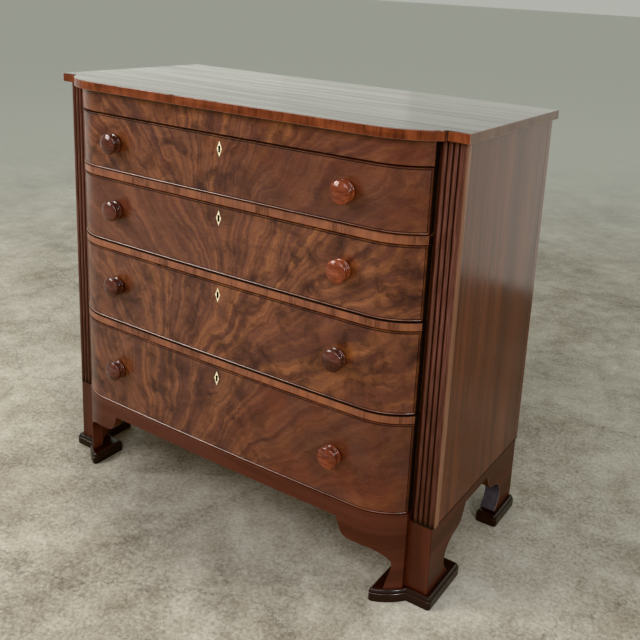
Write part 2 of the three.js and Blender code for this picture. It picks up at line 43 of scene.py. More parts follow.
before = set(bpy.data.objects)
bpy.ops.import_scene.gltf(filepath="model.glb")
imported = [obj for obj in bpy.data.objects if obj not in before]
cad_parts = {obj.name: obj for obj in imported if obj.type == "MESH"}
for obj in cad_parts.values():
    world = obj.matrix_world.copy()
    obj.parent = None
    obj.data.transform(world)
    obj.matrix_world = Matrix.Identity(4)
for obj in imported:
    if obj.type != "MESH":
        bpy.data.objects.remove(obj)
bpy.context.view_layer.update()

# Sizes of the fixed frame, in metres
TOP_LOW, TOP_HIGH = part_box("top_board")
SIDE_LOW, SIDE_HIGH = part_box("right_side_panel")
PILASTER_LOW, PILASTER_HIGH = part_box("right_pilaster")
BASE_LOW, BASE_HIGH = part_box("right_side_base")
FOOT_LOW, FOOT_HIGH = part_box("right_front_foot")
APRON_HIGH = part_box("front_apron")[1]
RAIL_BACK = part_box("frieze_rail")[1].y
BAY_SIDE = PILASTER_LOW.x
PILASTER_FRONT = PILASTER_LOW.y
CASE_BACK = SIDE_HIGH.y

# The bowed front: its foremost place, a flat arc and a tight one at each end, and what stands off it
BOW_FRONT = -0.241
BOW_RADIUS = 17.0
BOW_END_RADIUS = 0.137
BOW_END_WIDTH = 0.0995
TOP_BOW_OVERHANG = 0.019
PAD_BOW_OVERHANG = 0.008
FRONT_SET_BACK = 0.001

# The top's square ears, the banding before them and the joint of the two
EAR_OVERHANG = 0.011
BAND_DEPTH = 0.008
JOINT_WIDTH = 0.0024

# Joints of the top's boards: their depths in the case, half their width, and how far they sink
BOARD_JOINTS = (-0.165, -0.026)
BOARD_JOINT_HALF = 0.0011
BOARD_JOINT_SINK = 0.0004
# Known chips of its front edge: place along the front, half width, depth times the chips' setting;
# nothing is worn deeper than the last value
CHIPS = ((-0.117, 0.007, 1.9), (0.004, 0.006, 0.8), (0.486, 0.005, 1.4), (0.501, 0.004, 1.2))
DEEPEST_CHIP = 1.6

# Thicknesses of boards
APRON_THICKNESS = 0.024
FRONT_THICKNESS = 0.024
BASE_THICKNESS = 0.022
BLOCK_THICKNESS = 0.016
RAIL_DEPTH = 0.05

# Reeds of a pilaster, with the sunk strip at the drawers and the flat land at the corner
STRIP_WIDTH = 0.007
STRIP_SINK = 0.009
REED_COUNT = 4
CORNER_LAND = 0.0025
CORNER_ROUND = 0.0006
REED_RISE = 0.0045
REED_STEPS = 14

# Feet: arches, the block behind the rear one, and the pads with their legs to the back
BRACKET_STEPS = 40
APRON_ARCH = 0.167
SIDE_ARCH = 0.157
REAR_BLOCK = 0.108
PAD_TOP = 0.027
PAD_OVERHANG = 0.011
PAD_CORNER = 0.008
PAD_LEG_WIDTH = 0.053
PAD_LEG_START = 0.05

DRAWERS = (1, 2, 3, 4)
SIDES = {"left": -1.0, "right": 1.0}
HOLE_HALF_WIDTH = 0.0033
# Vertices this near a line count as on it, and edges this near a face as on the face
ON_LINE = 0.0002
ON_FACE = 0.001
# Wear of a vertex where old dirt has settled, also set where shade is painted in gaps, seams and
# grooves
DIRT_AND_SHADE = -0.9

# Bead round a drawer front: distance in from the edge, and rise off the veneer
BEAD = (
    (0.0, -0.0016), (0.0003, -0.0002), (0.0007, 0.0008), (0.0012, 0.0013), (0.002, 0.001),
    (0.0029, 0.0004), (0.0034, -0.0006), (0.0042, -0.0006), (0.005, 0.0),
)
BEAD_RISE = max(rise for _, rise in BEAD)
BEAD_END_SHARE = 0.7

# Bracket curves: distance in from the outer edge, and share of the way up the arch
FRONT_BRACKET = (
    (0.087, 0), (0.081, 0.2), (0.076, 0.343), (0.076, 0.45), (0.083, 0.529), (0.095, 0.6),
    (0.115, 0.664), (0.138, 0.686), (0.16, 0.693), (0.174, 0.707), (0.184, 0.75),
    (0.191, 0.836), (0.199, 1),
)
SIDE_BRACKET = (
    (0.096, 0), (0.085, 0.092), (0.074, 0.231), (0.074, 0.362), (0.08, 0.462), (0.089, 0.538),
    (0.104, 0.608), (0.124, 0.646), (0.142, 0.708), (0.154, 0.823), (0.165, 1),
)

# Camera at the photograph's place: place, turns, and where its axis meets the 640 pixel picture
PICTURE = 640
CAMERA_PLACE = (1.13331, -1.51225, 1.23531)
CAMERA_YAW, CAMERA_PITCH, CAMERA_ROLL = 0.54570, 0.25130, 0.05720
CAMERA_FOCUS = 823.59
CAMERA_AXIS = (365.41, 201.20)
SENSOR = 36.0
SIDE_WALL_SHARE = 0.12
# The wall behind is lit unevenly: left end, right end and brightness of each stretch
WALL_STRETCHES = ((-3.0, -1.3, 1.0), (-1.3, -0.6, 0.92), (-0.6, 0.5, 0.72), (0.5, 3.0, 1.0))


def linear(code):
    """sRGB hex text to a linear colour."""
    values = [int(code[i : i + 2], 16) / 255 for i in (1, 3, 5)]
    return [v / 12.92 if v <= 0.04045 else ((v + 0.055) / 1.055) ** 2.4 for v in values]


def rgba(colour):
    return (*colour, 1.0)


# Bow curves


BOW_TURN = math.asin((BAY_SIDE - BOW_END_WIDTH) / BOW_RADIUS)
END_X = (BOW_RADIUS - BOW_END_RADIUS) * math.sin(BOW_TURN)
END_Y = BOW_FRONT + BOW_RADIUS - (BOW_RADIUS - BOW_END_RADIUS) * math.cos(BOW_TURN)


def bow_y(x, inset=0.0):
    """Depth of the bow's face at x, drawn in by an inset."""
    x = abs(x)
    if x <= (BOW_RADIUS - inset) * math.sin(BOW_TURN):
        return BOW_FRONT + BOW_RADIUS - math.sqrt((BOW_RADIUS - inset) ** 2 - x * x)
    radius = BOW_END_RADIUS - inset
    return END_Y - math.sqrt(max(radius**2 - (x - END_X) ** 2, 0.0))


def bow_columns(edge, flat_steps=40, turn_step=0.035):
    """X of the cuts that let a flat board follow the bow."""
    flat = (BAY_SIDE - BOW_END_WIDTH) * 0.999
    columns = [-flat + 2 * flat * i / flat_steps for i in range(flat_steps + 1)]
    turn = BOW_TURN + turn_step
    while END_X + BOW_END_RADIUS * math.sin(turn) < edge - 0.002:
        x = END_X + BOW_END_RADIUS * math.sin(turn)
        columns += [x, -x]
        turn += turn_step
    inner = [c for c in columns if abs(c) < edge - 0.001]
    return sorted([*inner, edge - 0.0005, 0.0005 - edge])


def bow_arc(radius, first, last, steps):
    """Points of the bow's round end, moved out to a radius, from one turn to another."""
    turns = (first + (last - first) * i / steps for i in range(steps + 1))
    return [(END_X + radius * math.sin(turn), END_Y - radius * math.cos(turn)) for turn in turns]


def rectangle(left, low, right, high):
    return [(left, low), (right, low), (right, high), (left, high)]


def raised(floor):
    """Puts a board's outline level and its thickness upright, from a floor."""
    return lambda u, v, w: Vector((u, v, floor + w))


def smooth_curve(corners, steps):
    """Points of a Catmull-Rom curve through the corners."""
    ends = [corners[0], *corners, corners[-1]]
    curve = []
    spans = len(corners) - 1
    for i in range(steps + 1):
        span = min(int(i / steps * spans), spans - 1)
        t = i / steps * spans - span
        a, b, c, d = (Vector(p) for p in ends[span : span + 4])
        point = (2 * b + (c - a) * t + (2 * a - 5 * b + 4 * c - d) * t**2
                 + (3 * b - a - 3 * c + d) * t**3) / 2
        curve.append((point.x, point.y))
    return curve


def bracket(curve, arch):
    """Distance in and height of a bracket's edge, from the pad to the top of its arch."""
    return smooth_curve([(w, PAD_TOP + share * (arch - PAD_TOP)) for w, share in curve], BRACKET_STEPS)


# Mesh tools


def corner_ways(outline, i):
    """A corner of an outline, and the headings of the edges that lead to it and away from it."""
    here = Vector(outline[i])
    into = (here - Vector(outline[i - 1])).normalized()
    away = (Vector(outline[(i + 1) % len(outline)]) - here).normalized()
    return here, into, away


def drawn_in(outline, distance):
    """The outline moved to its inner side by a distance, corner by corner."""
    moved = []
    for i in range(len(outline)):
        here, into, away = corner_ways(outline, i)
        normal = Vector((-into.y - away.y, into.x + away.x))
        moved.append(tuple(here + normal * distance / (1 + into.dot(away))))
    return moved


def slab_mesh(loops, depth, place, cuts=(), rows=(), rounding=0.0, soften=None, segments=3):
    """A board drawn as flat loops (u, v): cut in columns and rows, thickened, its arrises rounded,
    then put in place. Its wear attribute is one along the rounded edges, which the shader lays pale:
    rubbed wood with a painted highlight."""
    mesh = bmesh.new()
    rings = [[Vector((u, v, 0.0)) for u, v in loop] for loop in loops]
    corners = [mesh.verts.new(point) for ring in rings for point in ring]
    for a, b, c in tessellate_polygon(rings):
        mesh.faces.new((corners[a], corners[b], corners[c]))
    lines = [(0, cut) for cut in cuts] + [(1, row) for row in rows]
    for axis, value in lines:
        normal = Vector((1 - axis, axis, 0))
        bmesh.ops.bisect_plane(
            mesh, geom=mesh.verts[:] + mesh.edges[:] + mesh.faces[:],
            plane_co=normal * value, plane_no=normal, dist=1e-6,
        )
    if lines or len(loops) == 1:
        # Only the cuts stay: the seams of the filled outline go, with the points they leave on a cut
        def on_cut(edge):
            (a, b) = (vertex.co for vertex in edge.verts)
            return any(max(abs(a[axis] - value), abs(b[axis] - value)) < 2e-6 for axis, value in lines)

        seams = [edge for edge in mesh.edges if not edge.is_boundary and not on_cut(edge)]
        bmesh.ops.dissolve_edges(mesh, edges=seams, use_verts=False)
        spare = [v for v in mesh.verts if len(v.link_edges) == 2 and not v.is_boundary]
        bmesh.ops.dissolve_verts(mesh, verts=spare)
    made = bmesh.ops.extrude_face_region(mesh, geom=mesh.faces[:])
    for vertex in (g for g in made["geom"] if isinstance(g, bmesh.types.BMVert)):
        vertex.co.z = depth
    bmesh.ops.recalc_face_normals(mesh, faces=mesh.faces[:])
    wear = mesh.verts.layers.float.new("wear")
    if rounding:
        sharp = [
            edge for edge in mesh.edges
            if edge.is_manifold and edge.calc_face_angle() > 0.6
            and (soften is None or soften((edge.verts[0].co + edge.verts[1].co) / 2))
        ]
        done = bmesh.ops.bevel(
            mesh, geom=sharp, offset=rounding, segments=segments, profile=0.5,
            affect="EDGES", clamp_overlap=True,
        )
        new_faces = set(done["faces"])
        for vertex in mesh.verts:
            vertex[wear] = float(all(face in new_faces for face in vertex.link_faces))
    for vertex in mesh.verts:
        vertex.co = place(*vertex.co)
    if mesh.calc_volume(signed=True) < 0:
        bmesh.ops.reverse_faces(mesh, faces=mesh.faces[:])
    mesh.normal_update()
    return mesh


def round_corners(outline, radius, steps=6):
    """The outline with its outward corners rounded."""
    soft = []
    for i, corner in enumerate(outline):
        here, into, away = corner_ways(outline, i)
        turn = math.atan2(into.cross(away), into.dot(away))
        if turn < 0.5:
            soft.append(corner)
            continue
        centre = here - into * radius * math.tan(turn / 2) + Vector((-into.y, into.x)) * radius
        for step in range(steps + 1):
            heading = math.atan2(-into.x, into.y) + turn * step / steps
            soft.append((centre.x + radius * math.cos(heading), centre.y + radius * math.sin(heading)))
    return soft


def join_rings(mesh, rings, count):
    """Faces between rings of vertices; a ring of one vertex closes the shape."""
    for low, high in zip(rings, rings[1:]):
        for i in range(count):
            j = (i + 1) % count
            corners = (low[i % len(low)], low[j % len(low)], high[j % len(high)], high[i % len(high)])
            mesh.faces.new(list(dict.fromkeys(corners)))


def moulded_mesh(outline, rows):
    """Rings of one outline at (inset, height, wear) rows, closed at both ends."""
    mesh = bmesh.new()
    layer = mesh.verts.layers.float.new("wear")
    rings = []
    for inset, height, wear in rows:
        ring = [mesh.verts.new((x, y, height)) for x, y in drawn_in(outline, inset)]
        for vertex in ring:
            vertex[layer] = wear
        rings.append(ring)
    join_rings(mesh, rings, len(outline))
    mesh.faces.new(rings[0])
    mesh.faces.new(rings[-1])
    bmesh.ops.recalc_face_normals(mesh, faces=mesh.faces[:])
    bmesh.ops.triangulate(mesh, faces=[f for f in mesh.faces if len(f.verts) > 4])
    return mesh


def mark_darkening(mesh, chosen, amount):
    """Sets the wear of the vertices whose places are chosen."""
    wear = mesh.verts.layers.float["wear"]
    for vertex in mesh.verts:
        if chosen(vertex.co):
            vertex[wear] = amount


def darken_ends(mesh, edge, amount=1.0):
    """Darkens the ends of a board that stop at x = edge: painted shade of the gaps beside them, with
    some soiling.
    """
    mark_darkening(mesh, lambda p: abs(p.x) > edge - ON_LINE, -amount)


def paint_faces(mesh, choose):
    """Gives each face the material that its middle and its normal choose."""
    for face in mesh.faces:
        face.material_index = int(choose(face.calc_center_median(), face.normal))


def lathe_mesh(profile, steps, centre):
    """A turning about the Y axis: (radius, distance out to the front) pairs from the shank out."""
    mesh = bmesh.new()
    mesh.verts.layers.float.new("wear")
    rings = []
    for radius, out in profile:
        ring = []
        count = steps if radius > 1e-6 else 1
        for i in range(count):
            turn = 2 * math.pi * i / steps
            ring.append(mesh.verts.new((
                centre.x + radius * math.cos(turn), centre.y - out, centre.z + radius * math.sin(turn),
            )))
        rings.append(ring)
    join_rings(mesh, rings, steps)
    bmesh.ops.recalc_face_normals(mesh, faces=mesh.faces[:])
    return mesh


def add_object(name, mesh, materials, smooth=0.7, weighted=True):
    """Turns the mesh into an object with smooth faces and clean flats."""
    data = bpy.data.meshes.new(name)
    mesh.to_mesh(data)
    mesh.free()
    for material in materials:
        data.materials.append(material)
    piece = bpy.data.objects.new(name, data)
    bpy.context.scene.collection.objects.link(piece)
    data.shade_smooth()
    data.set_sharp_from_angle(angle=smooth)
    if weighted:
        piece.modifiers.new("flat faces", "WEIGHTED_NORMAL").keep_sharp = True
    return piece


def add_piece(name, mesh, materials, body, slot, nodes, **shading):
    """A finished piece that rides on a body and stands for its frame nodes."""
    piece = add_object(name, mesh, materials, **shading)
    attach(piece, body)
    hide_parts(*nodes)
    return piece


def mirrored_mesh(mesh):
    """The same mesh on the other side of the middle plane."""
    copy = mesh.copy()
    for vertex in copy.verts:
        vertex.co.x = -vertex.co.x
    bmesh.ops.reverse_faces(copy, faces=copy.faces[:])
    return copy


def add_pair(name, mesh, materials, slot, node, **shading):
    """A finished piece of the case's right side, and its twin on the left."""
    for side, body in (("right", mesh), ("left", mirrored_mesh(mesh))):
        add_piece(f"{side}_{name}", body, materials, "case", slot, [f"{side}_{node}"], **shading)


def finish_node(name, material):
    """Gives a frame node that stays in view its material."""
    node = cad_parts[name]
    node.data.materials.clear()
    node.data.materials.append(material)


# Materials


def set_inputs(node, inputs):
    """Links or sets the named inputs of a node."""
    for key, value in inputs.items():
        source = value.outputs[0] if isinstance(value, bpy.types.Node) else value
        if isinstance(source, bpy.types.NodeSocket):
            node.id_data.links.new(source, node.inputs[key])
        else:
            node.inputs[key].default_value = source


def add(tree, kind, inputs=None, stops=(), **settings):
    """Adds one shader node with its settings, ramp stops and links."""
    made = tree.nodes.new("ShaderNode" + kind)
    for key, value in settings.items():
        setattr(made, key, value)
    for index, (position, colour) in enumerate(stops):
        ramp = made.color_ramp.elements
        element = ramp[index] if index < len(ramp) else ramp.new(position)
        element.position = position
        element.color = rgba(colour)
    set_inputs(made, inputs or {})
    return made


def maths(tree, operation, *values):
    return add(tree, "Math", dict(enumerate(values)), operation=operation)


def vectors(tree, operation, *values):
    return add(tree, "VectorMath", dict(enumerate(values)), operation=operation)


def specks(tree, spot, width, detail, **inputs):
    """Noise whose spots have a width in metres."""
    return add(tree, "TexNoise", {"Vector": spot, "Scale": 1 / width, "Detail": detail, **inputs})


def spread(tree, value, low, high, start=0.0, end=1.0, smooth=False):
    """The value, from low to high, spread from start to end."""
    inputs = {"Value": value, "From Min": low, "From Max": high, "To Min": start, "To Max": end}
    return add(tree, "MapRange", inputs, interpolation_type="SMOOTHSTEP" if smooth else "LINEAR")


def weighted(tree, *parts):
    """The sum of the values, each times its share."""
    (value, share), *rest = parts
    total = maths(tree, "MULTIPLY", value, share)
    for value, share in rest:
        total = maths(tree, "MULTIPLY_ADD", value, share, total)
    return total


def laid_over(tree, factor, under, over):
    """A colour laid over what is under it."""
    inputs = {"Factor": factor, 6: under, 7: rgba(over)}
    return add(tree, "Mix", inputs, data_type="RGBA").outputs[2]


def new_material(name, **constants):
    """A new material's node tree, its shader with the given constants, and the object's space."""
    material = bpy.data.materials.new(name)
    material.use_nodes = True
    tree = material.node_tree
    shader = tree.nodes["Principled BSDF"]
    set_inputs(shader, constants)
    return material, tree, shader, add(tree, "TexCoord").outputs["Object"]


def colours():
    return bpy.context.scene.chest_colours


def ramp(tree, value, key, **places):
    """The colours of a key (dark, middle, light), each from its own place in the value on."""
    stops = [(place, getattr(colours(), f"{key}_{level}")) for level, place in places.items()]
    return add(tree, "ValToRGB", {"Fac": value}, stops)


def close(tree, shader, colour, height, strength, depth, **inputs):
    """Ends a material: its colour, its relief of a depth in metres, and what else it has."""
    relief = add(tree, "Bump", {"Height": height, "Strength": strength, "Distance": depth})
    set_inputs(shader, {"Base Color": colour, "Normal": relief, **inputs})


def weather(tree, shader, colour, dull, height, pale_share, relief):
    """Ends a wood: edges rubbed bare with a painted highlight where wear is above zero, old soiling
    with painted shade where it is below.
    """
    tone = colours()
    # Above zero the wear attribute paints edges pale, rubbed wood with a painted highlight; below zero
    # it paints soiling with painted shade
    wear = add(tree, "Attribute", attribute_name="wear").outputs["Fac"]
    bare = laid_over(tree, spread(tree, wear, 0.0, 1.0, 0.0, pale_share), colour, tone.rubbed_edge)
    dirt_and_shade = spread(tree, wear, -0.1, -0.8)
    rough = add(tree, "Mix", {"Factor": dirt_and_shade, 2: dull, 3: 0.85})
    soiling_and_shade = laid_over(tree, dirt_and_shade, bare, tone.grime)
    close(tree, shader, soiling_and_shade, height, relief, 0.0003, Roughness=rough)


def shifted(tree, spot, source, x, y, z):
    """The place moved by a colour noise, up to half the amounts each way."""
    drift = vectors(tree, "SUBTRACT", source.outputs["Color"], (0.5, 0.5, 0.5))
    return vectors(tree, "MULTIPLY_ADD", drift, (x, y, z), spot)


def figured_veneer(name, seed, spine, level, lean, calm, warm, clouds):
    """Flame mahogany veneer, French polished: plumes that fan out from the crotch, dark blots and
    golden wisps under a soft shellac gloss. calm: the x where the figure begins to fade and the x
    where it is plain. warm: how red the plain ground is. clouds: how far old polish dims it."""
    # Shellac over a filled grain: IOR 1.52, one soft gloss
    material, tree, shader, spot = new_material(name, IOR=1.52)
    tone = colours()
    moved = add(tree, "Mapping", {"Vector": spot, "Location": (-spine, seed, -level)})
    # Swells 120 mm wide bend the growth lines, ripples 20 mm wide feather them
    swell = specks(tree, moved, 0.12, 1.5)
    bent = shifted(tree, moved, swell, 0.08, 0.0, 0.08)
    ripple = specks(tree, bent, 0.02, 3.0)
    feather = shifted(tree, bent, ripple, 0.022, 0.0, 0.022)
    turned = add(tree, "VectorRotate", {"Vector": feather, "Angle": lean}, rotation_type="Y_AXIS")
    # The lines fan out from a point 300 mm below the figure
    fan = vectors(tree, "ADD", turned, (0.0, 0.0, 0.3))
    x, _, z = add(tree, "SeparateXYZ", {"Vector": fan}).outputs
    angle = maths(tree, "ARCTAN2", x, z)
    reach = vectors(tree, "LENGTH", fan).outputs["Value"]
    across = maths(tree, "MULTIPLY", angle, 0.3)
    # Noise drawn out along the fan: short strokes for the wisps, long threads for the streaks
    stroke, thread = (
        add(tree, "CombineXYZ", {"X": across, "Y": seed, "Z": maths(tree, "MULTIPLY", reach, share)})
        for share in (0.45, 0.14)
    )
    # Wisps 13 mm wide, streaks 5 mm wide, blots 45 mm wide, patches 110 mm wide, fibres 2 mm wide
    wisp = specks(tree, stroke, 0.013, 4.0, Roughness=0.6)
    streak = specks(tree, thread, 0.005, 3.0, Roughness=0.6)
    blot = specks(tree, feather, 0.045, 5.0, Roughness=0.6)
    patch = specks(tree, bent, 0.11, 2.0)
    level_grain = vectors(tree, "MULTIPLY", moved, (0.08, 1.0, 1.0))
    fibre = specks(tree, level_grain, 0.0022, 3.0)
    # How lively the figure is: full before calm, faint after it
    x = add(tree, "SeparateXYZ", {"Vector": spot})
    lively = spread(tree, x, *calm, 1.0, 0.4, smooth=True)
    red = spread(tree, lively, 1.0, 0.4, 0.0, warm)
    ground = laid_over(tree, red, rgba(tone.veneer_ground), tone.veneer_red)
    cloud = spread(tree, patch, 0.4, 0.6, 0.0, clouds)
    clouded = laid_over(tree, cloud, ground, tone.veneer_cloud)
    bright = spread(tree, wisp, 0.42, 0.68, 0.0, 0.9)
    golden = maths(tree, "MULTIPLY", bright, lively)
    wisped = laid_over(tree, golden, clouded, tone.veneer_gold)
    dim = spread(tree, blot, 0.45, 0.68, 0.0, 0.95)
    sombre = maths(tree, "MULTIPLY", dim, lively)
    blotted = laid_over(tree, sombre, wisped, tone.veneer_dark)
    streaked = spread(tree, streak, 0.3, 0.7, 0.8, 1.18)
    grained = spread(tree, fibre, 0.3, 0.7, 0.88, 1.12)
    shade = maths(tree, "MULTIPLY", streaked, grained)
    fibred = vectors(tree, "MULTIPLY", blotted, shade)
    dull = spread(tree, patch, 0.3, 0.7, 0.2, 0.34)
    weather(tree, shader, fibred, dull, fibre, 0.9, 0.06)
    return material


def crossbanding(name, key):
    """Mahogany crossbanding, French polished: short pieces of veneer with the grain upright, each
    piece a shade of its own between the colours of a key."""
    material, tree, shader, spot = new_material(name, IOR=1.52)
    x, _, z = add(tree, "SeparateXYZ", {"Vector": spot}).outputs
    # Pieces 90 mm long, shaded one by one, another set in each rail
    number = maths(tree, "FLOOR", maths(tree, "DIVIDE", x, 0.09))
    row = maths(tree, "ROUND", maths(tree, "DIVIDE", z, 0.06))
    tag = add(tree, "CombineXYZ", {"X": number, "Y": row})
    shade = add(tree, "TexWhiteNoise", {"Vector": tag}, noise_dimensions="3D")
    # Upright grain: lines 3 mm wide, bands 18 mm wide, and dark blots 50 mm wide
    upright = vectors(tree, "MULTIPLY", spot, (1.0, 1.0, 0.08))
    line = specks(tree, upright, 0.003, 3.0, Roughness=0.6)
    band = specks(tree, upright, 0.018, 3.0)
    blot = specks(tree, spot, 0.05, 2.0)
    full = weighted(tree, (line, 0.3), (band, 0.35), (blot, 0.3), (shade, 0.07))
    colour = ramp(tree, full, key, dark=0.41, middle=0.5, light=0.6)
    weather(tree, shader, colour, 0.26, line, 0.5, 0.06)
    return material


def plain_mahogany(name, grain, key, roughness, fine=0.5):
    """Straight grained mahogany board, polished. grain is the scale of the pattern along x, y, z,
    small along the grain; key is that of its two colours; fine is the share of narrow lines against
    broad bands."""
    # Planed, filled and shellacked: IOR 1.5, soft gloss, short pores dragged along the grain
    material, tree, shader, spot = new_material(name, IOR=1.5)
    wander = specks(tree, spot, 0.3, 2.0)
    moved = shifted(tree, spot, wander, 0.04, 0.04, 0.04)
    along = vectors(tree, "MULTIPLY", moved, grain)
    # Bands 34 mm wide, growth lines 6 mm wide, pores 1 mm wide
    band = specks(tree, along, 0.034, 2.0)
    line = specks(tree, along, 0.006, 4.0, Roughness=0.6)
    pore = specks(tree, along, 0.001, 2.0)
    full = weighted(tree, (line, fine), (band, 1 - fine))
    colour = ramp(tree, full, key, dark=0.4, light=0.62)
    pored = spread(tree, pore, 0.3, 0.5, 0.82, 1.0)
    grained = vectors(tree, "MULTIPLY", colour, pored)
    smear = specks(tree, along, 0.03, 3.0)
    dull = spread(tree, smear, 0.3, 0.7, roughness - 0.04, roughness + 0.06)
    weather(tree, shader, grained, dull, line, 0.4, 0.05)
    return material


def reeded_mahogany():
    """Carved mahogany reeds, polished: brown crests, and old polish, soiling and painted shade gone
    black in the grooves, except on the outermost reed, which is painted as lit."""
    material, tree, shader, spot = new_material("reeded mahogany, polished", IOR=1.5)
    across, depth, level = add(tree, "SeparateXYZ", {"Vector": spot}).outputs
    groove = spread(tree, depth, PILASTER_FRONT + 0.0015, PILASTER_FRONT + 0.0034, smooth=True)
    # The sunk strip takes less painted shade than the grooves, and the outer corner none: painted light
    # on the reed there
    strip = spread(tree, depth, PILASTER_FRONT + 0.0045, PILASTER_FRONT + 0.0088, 0.0, 0.35)
    sunk = maths(tree, "SUBTRACT", groove, strip)
    outward = maths(tree, "ABSOLUTE", across)
    away_from_lit_corner = spread(tree, outward, PILASTER_HIGH.x - 0.009, PILASTER_HIGH.x - 0.006, 1.0, 0.0)
    deep = maths(tree, "MULTIPLY", sunk, away_from_lit_corner)
    along = vectors(tree, "MULTIPLY", spot, (1.0, 1.0, 0.05))
    line = specks(tree, along, 0.003, 4.0)
    crest = ramp(tree, line, "reed", dark=0.38, light=0.62)
    # Darker towards the floor, near black in the last 12 mm
    darker_low = spread(tree, level, PILASTER_LOW.z, PILASTER_LOW.z + 0.4, 0.55, 1.0)
    ended = spread(tree, level, PILASTER_LOW.z + 0.003, PILASTER_LOW.z + 0.015, 0.15, 1.0)
    low_end = maths(tree, "MULTIPLY", darker_low, ended)
    worn = vectors(tree, "MULTIPLY", crest, low_end)
    shaded_grooves = laid_over(tree, deep, worn, colours().grime)
    dull = spread(tree, deep, 0.0, 1.0, 0.28, 0.8)
    weather(tree, shader, shaded_grooves, dull, line, 0.3, 0.06)
    return material


def dark_keyhole_walls():
    """Old polish, soiling and painted shade in deep corners, dull: near black brown."""
    material, tree, shader, spot = new_material("old polish, soiling and painted shade, dull", IOR=1.45, Roughness=0.9)
    dust = specks(tree, spot, 0.004, 3.0)
    colour = add(tree, "ValToRGB", {"Fac": dust}, ((0.35, linear("#070404")), (0.7, colours().grime)))
    set_inputs(shader, {"Base Color": colour})
    return material


def softwood(name, grain):
    """Pine, planed and unfinished: pale yellow brown with darker latewood lines, grey with dust.
    grain is the scale of the pattern along x, y, z, small along the grain."""
    material, tree, shader, spot = new_material(name, IOR=1.45, Roughness=0.75)
    # Growth lines 14 mm apart that run along the boards
    along = vectors(tree, "MULTIPLY", spot, grain)
    ring = specks(tree, along, 0.014, 3.0, Distortion=0.6)
    fine = specks(tree, along, 0.002, 2.0)
    full = weighted(tree, (fine, 0.3), (ring, 0.7))
    colour = ramp(tree, full, "pine", dark=0.3, light=0.66)
    close(tree, shader, colour, full, 0.2, 0.0005)
    return material


def bone():
    """Bone inlay, filed flush and polished: warm cream with fine brown canals along its length."""
    material, tree, shader, spot = new_material("bone, polished", IOR=1.54, Roughness=0.35)
    along = vectors(tree, "MULTIPLY", spot, (1.0, 1.0, 0.12))
    canal = specks(tree, along, 0.0012, 2.0)
    colour = ramp(tree, canal, "bone", dark=0.36, light=0.52)
    close(tree, shader, colour, canal, 0.1, 0.0002)
    return material


def forged_iron():
    """Wrought iron lock case, hammered and browned: dark grey metal with rust in the low spots."""
    material, tree, shader, spot = new_material("wrought iron, browned")
    tone = colours()
    scale = specks(tree, spot, 0.006, 5.0)
    colour = add(tree, "ValToRGB", {"Fac": scale}, ((0.42, tone.iron_rust), (0.56, tone.iron)))
    bare = spread(tree, scale, 0.42, 0.56, 0.1, 0.95)
    dull = spread(tree, scale, 0.42, 0.56, 0.85, 0.45)
    close(tree, shader, colour, scale, 0.3, 0.0006, Metallic=bare, Roughness=dull)
    return material


def concrete():
    """Power floated concrete, worn: pale grey brown with ragged brown stains, pale scuffs, crisp grit,
    white chips and hair cracks, hardly any gloss, a painted shadow under and before the chest, and a
    painted pale sheen where it is seen edge on."""
    material, tree, shader, spot = new_material("concrete, worn", IOR=1.45, Roughness=0.62)
    tone = colours()
    # Shades 400 mm wide, ragged stains 90 mm wide, scuffs 160 mm wide, grit 9 mm wide
    shade = specks(tree, spot, 0.4, 9.0, Roughness=0.72)
    ragged = specks(tree, spot, 0.09, 8.0, Roughness=0.8)
    scuff = specks(tree, spot, 0.16, 6.0, Roughness=0.7, Distortion=0.6)
    grit = specks(tree, spot, 0.009, 8.0, Roughness=0.85)
    full = weighted(tree, (ragged, 0.24), (shade, 0.31), (grit, 0.45))
    stops = ((0.42, tone.floor_dark), (0.5, tone.floor), (0.6, tone.floor_pale))
    ground = add(tree, "ValToRGB", {"Fac": full}, stops)
    brown = spread(tree, scuff, 0.5, 0.75, 0.0, 0.4)
    stained = laid_over(tree, brown, ground, tone.floor_brown)
    # White chips 4 mm wide, 80 mm apart, and cracks 2 mm wide between plates 1.1 m wide
    chip = add(tree, "TexVoronoi", {"Vector": spot, "Scale": 1 / 0.08}, feature="F1")
    chipped = spread(tree, chip.outputs["Distance"], 0.02, 0.035, 0.7, 0.0)
    pale = laid_over(tree, chipped, stained, tone.floor_pale)
    bent = shifted(tree, spot, ragged, 0.16, 0.0, 0.16)
    plate = add(tree, "TexVoronoi", {"Vector": bent, "Scale": 1 / 1.1}, feature="DISTANCE_TO_EDGE")
    crack = spread(tree, plate.outputs["Distance"], 0.0005, 0.0018, 0.45, 0.0)
    cracked = laid_over(tree, crack, pale, tone.grime)
    # Painted shadow: the floor is darker under and before the chest
    sought = vectors(tree, "MULTIPLY_ADD", spot, (1.45, 2.1, 0.0), (0.0, 0.3, 0.0))
    apart = vectors(tree, "LENGTH", sought).outputs["Value"]
    shadow_spread = maths(tree, "MULTIPLY_ADD", ragged, 0.5, apart)
    painted_chest_shadow = spread(tree, shadow_spread, 0.6, 1.05, 0.66, 1.0, smooth=True)
    cracked = vectors(tree, "MULTIPLY", cracked, painted_chest_shadow)
    # Painted sheen: the floor is laid paler where it is seen edge on
    view = add(tree, "LayerWeight", {"Blend": 0.5}).outputs["Facing"]
    far = spread(tree, view, 0.66, 0.86, smooth=True)
    sheened = laid_over(tree, far, cracked, tone.floor_far)
    close(tree, shader, sheened, grit, 0.2, 0.001)
    return material


# Sizes, colours and lights that a user may change


IN_METRES = {"unit": "LENGTH", "subtype": "DISTANCE", "precision": 4}


